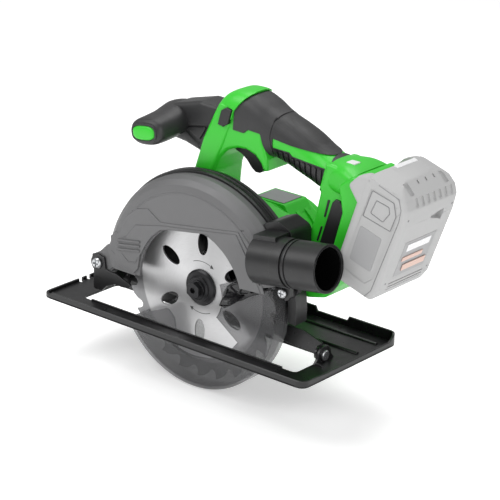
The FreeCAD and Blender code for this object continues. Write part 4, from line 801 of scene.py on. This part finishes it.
# -------- finger lever of the lower guard
def build_lever():
    black = M["gloss_black"]
    y0, y1 = -12.95, -11.5
    outer = rounded([(33, 6), (37, 14), (45, 20.5), (57, 22.5), (70, 24.8), (79, 30.5), (84.5, 30),
                     (82.4, 24),
                     (72, 17.5), (62, 12.5), (52, 6), (44, 2.2), (36, 1.6)], 3, 5)
    holes = []
    cells = [[(37, 7), (38.6, 13), (45.5, 9.6), (41, 5)],
             [(40.5, 15.4), (46.5, 18.8), (51.5, 19.6), (48.2, 11.4)],
             [(43.8, 4.8), (50.4, 9), (57.6, 12.8), (49, 6.6)],
             [(50.6, 11.2), (54, 19.8), (62.2, 21), (60, 15)],
             [(62.4, 15.8), (64.6, 21.4), (73, 23.4), (68.4, 18)],
             [(71.4, 19.8), (75.4, 24.8), (80.6, 27.6), (79.6, 24)]]
    for cell in cells:
        holes.append(rounded(cell, 0.9, 3))
    truss = plate("guard_lever_truss", [outer] + holes, (y0, y1), 0.8, black, rings=3)
    back = plate("guard_lever_web", [inset(outer, 0.6)], (-11.5, -11.1), 0.1, M["smoked_dark"], rings=1)
    tab_low = [(36.5, 3), (44, 1), (51.4, 6), (49.4, 12), (40, 11)]
    tab = []
    for y, grow, drop in ((-12.9, 0.0, 0.0), (-18, -0.3, -1.4), (-22.6, -1.0, -2.6), (-24.0, -2.4, -3.0)):
        ring = inset(rounded([(x, z + drop) for x, z in tab_low], 1.5, 4), -grow)
        tab.append([(x, y, z) for x, z in ring])
    grip = loft("guard_lever_tab", tab, black, 30)
    for piece in (truss, back, grip):
        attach(piece, "guard_swinging")
    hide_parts("guard_lever")


# -------- base plate
def flange_height(x, y):
    """Top of the folded edge, higher on the motor side, with a long notch in it."""
    far = -23.0
    if 62 < x < 98:
        far = -27.0
    near = -27.5
    blend = min(1.0, max(0.0, (y + 40) / 20))
    side = near + (-28.6 - near) * blend
    if y > 70:
        rise = min(1.0, (y - 70) / 8)
        side = side + (far - side) * rise
    if x < -130:
        side = min(side, -29.5) if y < 70 else side
    return side


BEAD_WIDTH, BEAD_HEIGHT = 4.4, 1.8


def build_base():
    steel = M["black_steel"]
    outline = rounded([(-141, -49), (149, -49), (149, 82), (-141, 82)], 9, 8)
    slot = rounded([(-111, -28.6), (125, -28.6), (125, 16), (-111, 16)], 5, 6)
    notches = [[(-142, low), (-136.5, low), (-136.5, low + 5), (-142, low + 5)] for low in (-4, 6)]
    sheet = plate("base_sheet", [outline, slot], (-34, -32), 0.5, steel, axis="Z", rings=2)
    cut_sheet = [plate("tool", [notch], (-38, -22), 0.0, steel, axis="Z", rings=1) for notch in notches]
    combine(sheet, cut_sheet, "DIFFERENCE", 34)
    swap_material(sheet, steel)
    dense = []
    ends = outline + outline[:1]
    for (ax, ay), (bx, by) in zip(ends, ends[1:]):
        steps = max(1, int(math.hypot(bx - ax, by - ay) / 2.0))
        dense += [(ax + (bx - ax) * k / steps, ay + (by - ay) * k / steps) for k in range(steps)]
    if signed_area(dense) < 0:
        dense.reverse()
    count = len(dense)
    inner = inset(dense, 2.0)
    middle = inset(dense, 0.45)
    middle_in = inset(dense, 1.55)
    verts = []
    for (ox, oy), (ix, iy), (mx, my), (nx, ny) in zip(dense, inner, middle, middle_in):
        top = flange_height(ox, oy)
        verts += [(ox, oy, -33.4), (ox, oy, top - 0.5), (mx, my, top), (nx, ny, top), (ix, iy, top - 0.5),
                  (ix, iy, -32.4)]
    faces = []
    for i in range(count):
        j = (i + 1) % count
        for k in range(5):
            faces.append((i * 6 + k, j * 6 + k, j * 6 + k + 1, i * 6 + k + 1))
        faces.append((i * 6 + 5, j * 6 + 5, j * 6, i * 6))
    rim = finish_mesh("base_flange", verts, faces, steel, 30)
    work = bmesh.new()
    work.from_mesh(rim.data)
    bmesh.ops.recalc_face_normals(work, faces=work.faces)
    work.to_mesh(rim.data)
    work.free()
    cut_rim = [plate("tool", [notch], (-38, -22), 0.0, steel, axis="Z", rings=1) for notch in notches]
    combine(rim, cut_rim, "DIFFERENCE", 30)
    swap_material(rim, steel)
    pieces = [sheet, rim]
    for name, y in (("bead_a", 38), ("bead_b", 65)):
        bead = []
        for k in range(9):
            turn = math.pi * k / 8
            bead.append((y - math.cos(turn) * BEAD_WIDTH / 2, -32.05 + BEAD_HEIGHT * math.sin(turn)))
        pieces.append(plate("base_" + name, [bead], (-96, 139), 0.6, steel, axis="X", rings=3))
    slot_fold = [(-30.2, -32.2), (-28.7, -32.2), (-28.7, -30.6), (-30.2, -30.6)]
    pieces.append(plate("base_slot_fold", [slot_fold], (-100, 112), 0.3, steel, axis="X", rings=2))
    for k, (x0, x1) in enumerate(((-98, -40), (84, 112))):
        fold = rounded([(x0, -33), (x0 + 3, -24.5), (x1 - 3, -24.5), (x1, -33)], 1.0, 3)
        pieces.append(plate("base_fold_%d" % k, [fold], (16.1, 17.5), 0.4, steel, rings=2))
    lug = rounded([(-7, -33, 1), (21, -33, 1), (16.5, -28, 2), (15, -23, 6), (10.5, -18.7, 6),
                   (3.5, -18.7, 6), (-1, -23, 6), (-2.5, -28, 2)], 4, 5)
    eye = [polar(2.55, -24 * k, 7, -27) for k in range(15)]
    pieces.append(plate("base_rear_lug", [lug, eye], (125.4, 127.9), 0.5, steel, axis="X", rings=3))
    front = rounded([(-3, -33, 1), (17, -33, 1), (12.4, -24, 4), (9, -21.6, 4), (5, -21.6, 4), (1.6, -24, 4)],
                    4, 5)
    pieces.append(plate("base_front_lug", [front, eye], (-113.9, -111.4), 0.5, steel, axis="X", rings=3))
    wedge = rounded([(126, -33), (138, -33), (132, -29.6), (128, -29.6)], 0.6, 2)
    pieces.append(plate("base_corner_fold", [wedge], (-6, -4.6), 0.3, steel, rings=2))
    for piece in pieces:
        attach(piece, "base")
    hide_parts("base_plate")


# -------- dust port
def build_port():
    tilt = math.radians(7.8)
    axis = tuple(Vector((math.cos(tilt), 0, math.sin(tilt))))
    root = tuple(Vector((74.7, -15.6, 50.3)))
    black = M["black_plastic"]
    profile = [(17.8, 40), (17.8, 68.6), (18.1, 69.3), (19.6, 69.3), (20.1, 68.8), (20.2, 67.5), (20.2, 40.2),
               (19.9, 40.0), (19.3, 40.0), (19.2, 38.2), (19.9, 38.2), (20.3, 38.0), (20.4, 37.2),
               (20.4, 36.2),
               (20.2, 35.8), (19.2, 35.8), (19.2, 34.0), (20.3, 34.0), (20.7, 33.4), (20.7, 24), (16.8, 24),
               (16.8, 40)]
    tube = revolve("dust_port_tube", profile, root, axis, black, 128)
    # Painted shadow inside the duct: a near-black disc closes the tube and a near-black lining covers its
    # inner wall.
    shade_disc = [(0.01, 26), (17.6, 26), (17.6, 27), (0.01, 27)]
    dark = revolve("dust_port_shade_disc", shade_disc, root, axis, M["deep_black"], 64)
    shade_lining = [(16.7, 27), (17.7, 27), (17.7, 67.5), (17.55, 67.5), (17.5, 28)]
    shade_liner = revolve("dust_port_shade_liner", shade_lining, root, axis, M["deep_black"], 96)
    for piece in (tube, dark, shade_liner):
        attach(piece, "saw_body")


# -------- battery
def build_battery():
    shell = M["battery_shell"]
    # The darker grey below is painted shade for seams, moulded outlines and screw holes.
    lines = M["battery_line"]

    def outline(points, radius=4.0):
        return rounded([(*pack_point(p[0], p[1]), p[2] if len(p) > 2 else radius) for p in points], radius, 6)

    body_shape = [(0.6, -70, 5), (42, -70, 6), (46.5, -58, 8), (48.4, 4, 6), (47.2, 18.5, 6), (42.6, 25.4, 5),
                  (27, 33.8, 6), (9, 34.6, 8), (0.6, 22, 6)]
    body = plate("battery_body", [outline(body_shape)], (5.2, 78.8), 4.4, shell, rings=6)
    tools = []
    side_panel = [(10.5, 20.5, 2), (34.5, 21.5, 3), (41, 11, 2), (40.5, -5, 2), (38.5, -50, 3), (33, -58, 3),
                  (8, -56, 3)]
    for span in ((3.0, 5.75), (78.25, 81)):
        tools.append(plate("tool", [outline(side_panel, 2)], span, 0.0, shell, rings=1))
    for k in range(7):
        y = 19.4 + 8.0 * k
        tooth = [(52, 27.5), (43.6, 27.6), (41.4, 24.4), (44.6, 19.4), (52, 16.0)]
        tools.append(plate("tool", [outline(tooth, 0.8)], (y, y + 3.8), 0.5, shell, rings=1))
    for y0, y1 in ((16.5, 22.5), (64.5, 70.5)):
        notch = [(29, 38), (29.4, 29.6), (38.8, 24.6), (42.2, 31)]
        tools.append(plate("tool", [outline(notch, 2.0)], (y0, y1), 1.2, shell, rings=2))
    thumb = []
    for y, grow in ((44.5, 0.2), (62, 1.0)):
        thumb.append([(x, y, z) for x, z in (pack_point(53, 6 + 3 * grow), pack_point(53, 5 - 8 * grow),
                                             pack_point(48.2 - 5 * grow, 5 - 6 * grow),
                                             pack_point(48.2 - 5 * grow, 5.5 + 2.5 * grow))])
    tools.append(loft("tool", thumb, shell))
    for edge, high in ((3, 25), (81, 59)):
        ends = []
        for a in (-4, 60):
            ends.append([(*pack_point(a, 27.5), edge), (*pack_point(a, 34.2), high),
                         (*pack_point(a, 44), high),
                         (*pack_point(a, 44), edge)])
        tools.append(loft("tool", [[(x, y, z) for x, z, y in end] for end in ends], shell))
    label = [(50.6, -13, 0.5), (50.6, -48, 0.5), (46.6, -50, 0.5), (47.6, -13, 0.5)]
    label_step = plate("tool", [outline(label, 0.5)], (20, 64), 0.0, shell, rings=1)
    tools.append(label_step)
    for k in range(3):
        groove = [(50, -53.0 - 3.2 * k, 0.3), (50, -54.1 - 3.2 * k, 0.3), (44.2, -54.1 - 3.2 * k, 0.3),
                  (44.6, -53.0 - 3.2 * k, 0.3)]
        tools.append(plate("tool", [outline(groove, 0.3)], (18, 66), 0.0, shell, rings=1))
    slots = []
    for k in range(3):
        y = 34 + 11 * k
        slot = [(30.5, 35, 0.4), (34, 33, 0.4), (33, 29, 0.4), (30, 30.5, 0.4)]
        slots.append(plate("tool", [outline(slot, 0.4)], (y, y + 2.0), 0.0, shell, rings=1))
    combine(body, tools, "DIFFERENCE", 32)
    combine(body, slots, "DIFFERENCE", 32)
    swap_material(body, shell)
    pieces = [body]
    # Seam drawn as a darker strip: painted shadow in the joint.
    seam_path = [pack_point(*p) for p in ((36.5, -68), (40.5, -60), (43.5, 8), (42, 18), (37, 25.5),
                                          (16, 26.4))]
    for k, y in enumerate(((4.95, 5.35), (78.65, 79.05))):
        pieces.append(plate("battery_seam_%d" % k, [strip(seam_path, 0.55)], y, 0.05, lines, rings=1))
    # Moulded outlines drawn as darker frames: painted shade along the lines.
    pent = [pack_point(*p) for p in ((11.6, 19.2), (33.8, 20.2), (39.6, 10.6), (39, -4), (10.8, -5.6))]
    pent_in = [pack_point(*p) for p in ((18, 13.5), (31, 14.5), (33.5, 9.5), (30, -0.5), (16.5, 0.5))]
    for k, y in enumerate(((5.35, 5.95), (78.05, 78.65))):
        for name, side in (("battery_pentagon_%d", pent), ("battery_pentagon_inner_%d", pent_in)):
            frame = [rounded(side, 1.2, 3), rounded(inset_ccw(side, 0.5), 1.2, 3)]
            pieces.append(plate(name % k, frame, y, 0.05, lines, rings=1))
    for k, span in enumerate(((5.45, 5.9), (78.1, 78.55))):
        block = [pack_point(*p) for p in ((12, -14), (34, -14), (34, -46), (12, -46))]
        pieces.append(plate("battery_side_label_%d" % k, [rounded(block, 2, 3)], span, 0.1,
                            M["battery_label"], rings=1))
    label_box = [pack_point(*p) for p in ((47.0, -14), (47.8, -14), (46.9, -47.6), (46.2, -47.6))]
    pieces.append(plate("battery_rear_label", [label_box], (21, 63), 0.05, M["battery_label"], rings=1))
    for k, (b0, b1, y0, y1) in enumerate(((-17, -24, 26, 58), (-29, -33, 24, 52), (-37, -43, 28, 60))):
        lean = 0.04 * (b0 - b1)
        corners = ((47.6, b0), (48.15, b0), (48.15 - lean, b1), (47.6 - lean, b1))
        bar = [pack_point(*p) for p in corners]
        pieces.append(plate("battery_label_bar_%d" % k, [bar], (y0, y1), 0.05,
                            M["window_white"] if k == 0 else M["battery_label_warm"], rings=1))
    # Dark discs in the screw holes: painted shade inside the holes.
    for k, (b, y) in enumerate(((10, 11.5), (10, 72.5), (-52, 13), (-52, 71))):
        x, z = pack_point(47.6 if b > 0 else 46.3, b)
        hole = [(0.01, -1.2), (0.9, -1.2), (0.9, 0.55), (0.01, 0.55)]
        outward = (math.cos(PACK_TILT), 0, -math.sin(PACK_TILT))
        pieces.append(revolve("battery_screw_hole_%d" % k, hole, (x, y, z), outward, lines, 20))
    ear_shape = [(9.5, -5.5, 4), (-11.8, 10.4, 4.2), (-5.5, 22, 8), (2, 28, 8), (9.5, 28, 4)]
    for k, (span, low_bevel, high_bevel) in enumerate((((5.3, 14.0), 3.6, 0.3), ((70.0, 78.7), 0.3, 3.6))):
        pieces.append(plate("battery_ear_%d" % k, [outline(ear_shape)], span, high_bevel, shell, rings=6,
                            low_bevel=low_bevel))
    window = [pack_point(*p) for p in ((8.8, 31.4), (13.6, 31.4), (13.6, 34.8), (9.4, 34.9))]
    pad = plate("battery_latch_pad", [rounded(window, 0.5, 2)], (30, 58), 0.5, M["window_white"], rings=2)
    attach(pad, "latch")
    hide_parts("battery_latch")
    for piece in pieces:
        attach(piece, "battery")
    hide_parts("battery_case", "battery_lid")


M["sleeve_rubber"] = surface("ribbed sleeve rubber", rgb("2B2B2C"), 0.5, bump=0.3, grain=3200, edge=0.4,
                             edge_wear_and_highlight=0.3,
                             edge_wear_and_highlight_colour=rgb("585858"), dress=fine_lines)
M["aux_rubber"] = surface("front handle rubber", rgb("2A2A2B"), 0.42, bump=0.3, grain=3400, edge=1.2,
                          edge_wear_and_highlight=0.35,
                          edge_wear_and_highlight_colour=rgb("606062"))
M["gloss_black"] = surface("polished black plastic", rgb("18181A"), 0.22, bump=0.05, grain=2000, edge=0.4,
                           edge_wear_and_highlight=0.6,
                           edge_wear_and_highlight_colour=rgb("77777A"))
# Near-black, almost unreflecting: painted shade for the inside of the dust port.
M["deep_black"] = surface("shadowed duct", rgb("050505"), 0.9, bump=0.05, grain=1500, specular=0.05, edge_wear_and_highlight=0.0)
# Painted shade colour for the battery's seams, outlines and screw holes.
M["battery_line"] = surface("battery shadow line", rgb("8A8A8B"), 0.6, bump=0.05, grain=1500, specular=0.2,
                            edge_wear_and_highlight=0.0)
M["battery_label"] = surface("blank battery label", rgb("A4A4A5"), 0.45, bump=0.05, grain=1800, specular=0.3,
                             edge_wear_and_highlight=0.0)
M["battery_label_warm"] = surface("plain warm label bar", rgb("D9B9AC"), 0.45, bump=0.05, grain=1800,
                                  edge_wear_and_highlight=0.0)
M["smoked_dark"] = smoked("smoked lever web", 0.25, (0.3, 0.3, 0.3))

build_handle()
build_aux_handle()
build_guard()
build_lever()
build_base()
build_port()
build_battery()


# -------- stage
def soft_light(name, place, aim, width, height, watts, colour=(1.0, 1.0, 1.0)):
    light = bpy.data.lights.new(name, "AREA")
    light.shape = "RECTANGLE"
    light.size = width
    light.size_y = height
    light.energy = watts
    light.color = colour
    obj = bpy.data.objects.new(name, light)
    scene.collection.objects.link(obj)
    obj.location = place
    obj.rotation_euler = (Vector(aim) - Vector(place)).to_track_quat("-Z", "Y").to_euler()
    return obj


def stage():
    floor_mesh = bpy.data.meshes.new("floor")
    side = 6.0
    low = size_after_load[0][2] - 0.0006
    floor_mesh.from_pydata([(-side, -side, low), (side, -side, low), (side, side, low), (-side, side, low)],
                           [],
                           [(0, 1, 2, 3)])
    floor = bpy.data.objects.new("floor", floor_mesh)
    scene.collection.objects.link(floor)
    t = Tree("pale floor")
    shader = t.add("BsdfPrincipled", None, Roughness=0.85)
    t.feed(shader.inputs["Base Color"], t.mix(t.noise(3.0), (0.93, 0.93, 0.93), (0.95, 0.95, 0.95)))
    shader.inputs["Specular IOR Level"].default_value = 0.1
    shader.inputs["Emission Color"].default_value = (1.0, 1.0, 1.0, 1.0)
    shader.inputs["Emission Strength"].default_value = 0.38
    t.tree.links.new(shader.outputs[0], t.output.inputs["Surface"])
    floor_mesh.materials.append(t.material)

    world = bpy.data.worlds.new("pale studio")
    world.use_nodes = True
    world.node_tree.nodes["Background"].inputs[0].default_value = (1.0, 1.0, 1.0, 1.0)
    world.node_tree.nodes["Background"].inputs[1].default_value = 0.42
    scene.world = world
    scene.view_settings.view_transform = "Standard"
    middle = (0.03, 0.03, 0.03)
    soft_light("key", (-0.55, -0.75, 1.05), middle, 0.9, 0.9, 9.0)
    soft_light("side", (1.25, -0.55, 0.55), middle, 0.7, 0.9, 6.0)
    soft_light("top", (-0.2, 0.45, 1.4), middle, 1.0, 1.0, 10.0)

    azimuth, elevation, roll = math.radians(38.284), math.radians(20.603), math.radians(2.228)
    back = Vector((math.sin(azimuth) * math.cos(elevation), -math.cos(azimuth) * math.cos(elevation),
                   math.sin(elevation)))
    right = Vector((math.cos(azimuth), math.sin(azimuth), 0.0))
    up = back.cross(right)
    right_rolled = right * math.cos(roll) + up * math.sin(roll)
    up_rolled = up * math.cos(roll) - right * math.sin(roll)
    camera = bpy.data.cameras.new("camera")
    camera.sensor_width = 36.0
    camera.lens = 154.62
    camera.clip_start = 0.1
    obj = bpy.data.objects.new("camera", camera)
    scene.collection.objects.link(obj)
    turn = Matrix((right_rolled, up_rolled, back)).transposed().to_4x4()
    turn.translation = back * 1.83088 + right_rolled * 0.040965 + up_rolled * 0.031574
    obj.matrix_world = turn
    scene.camera = obj


stage()
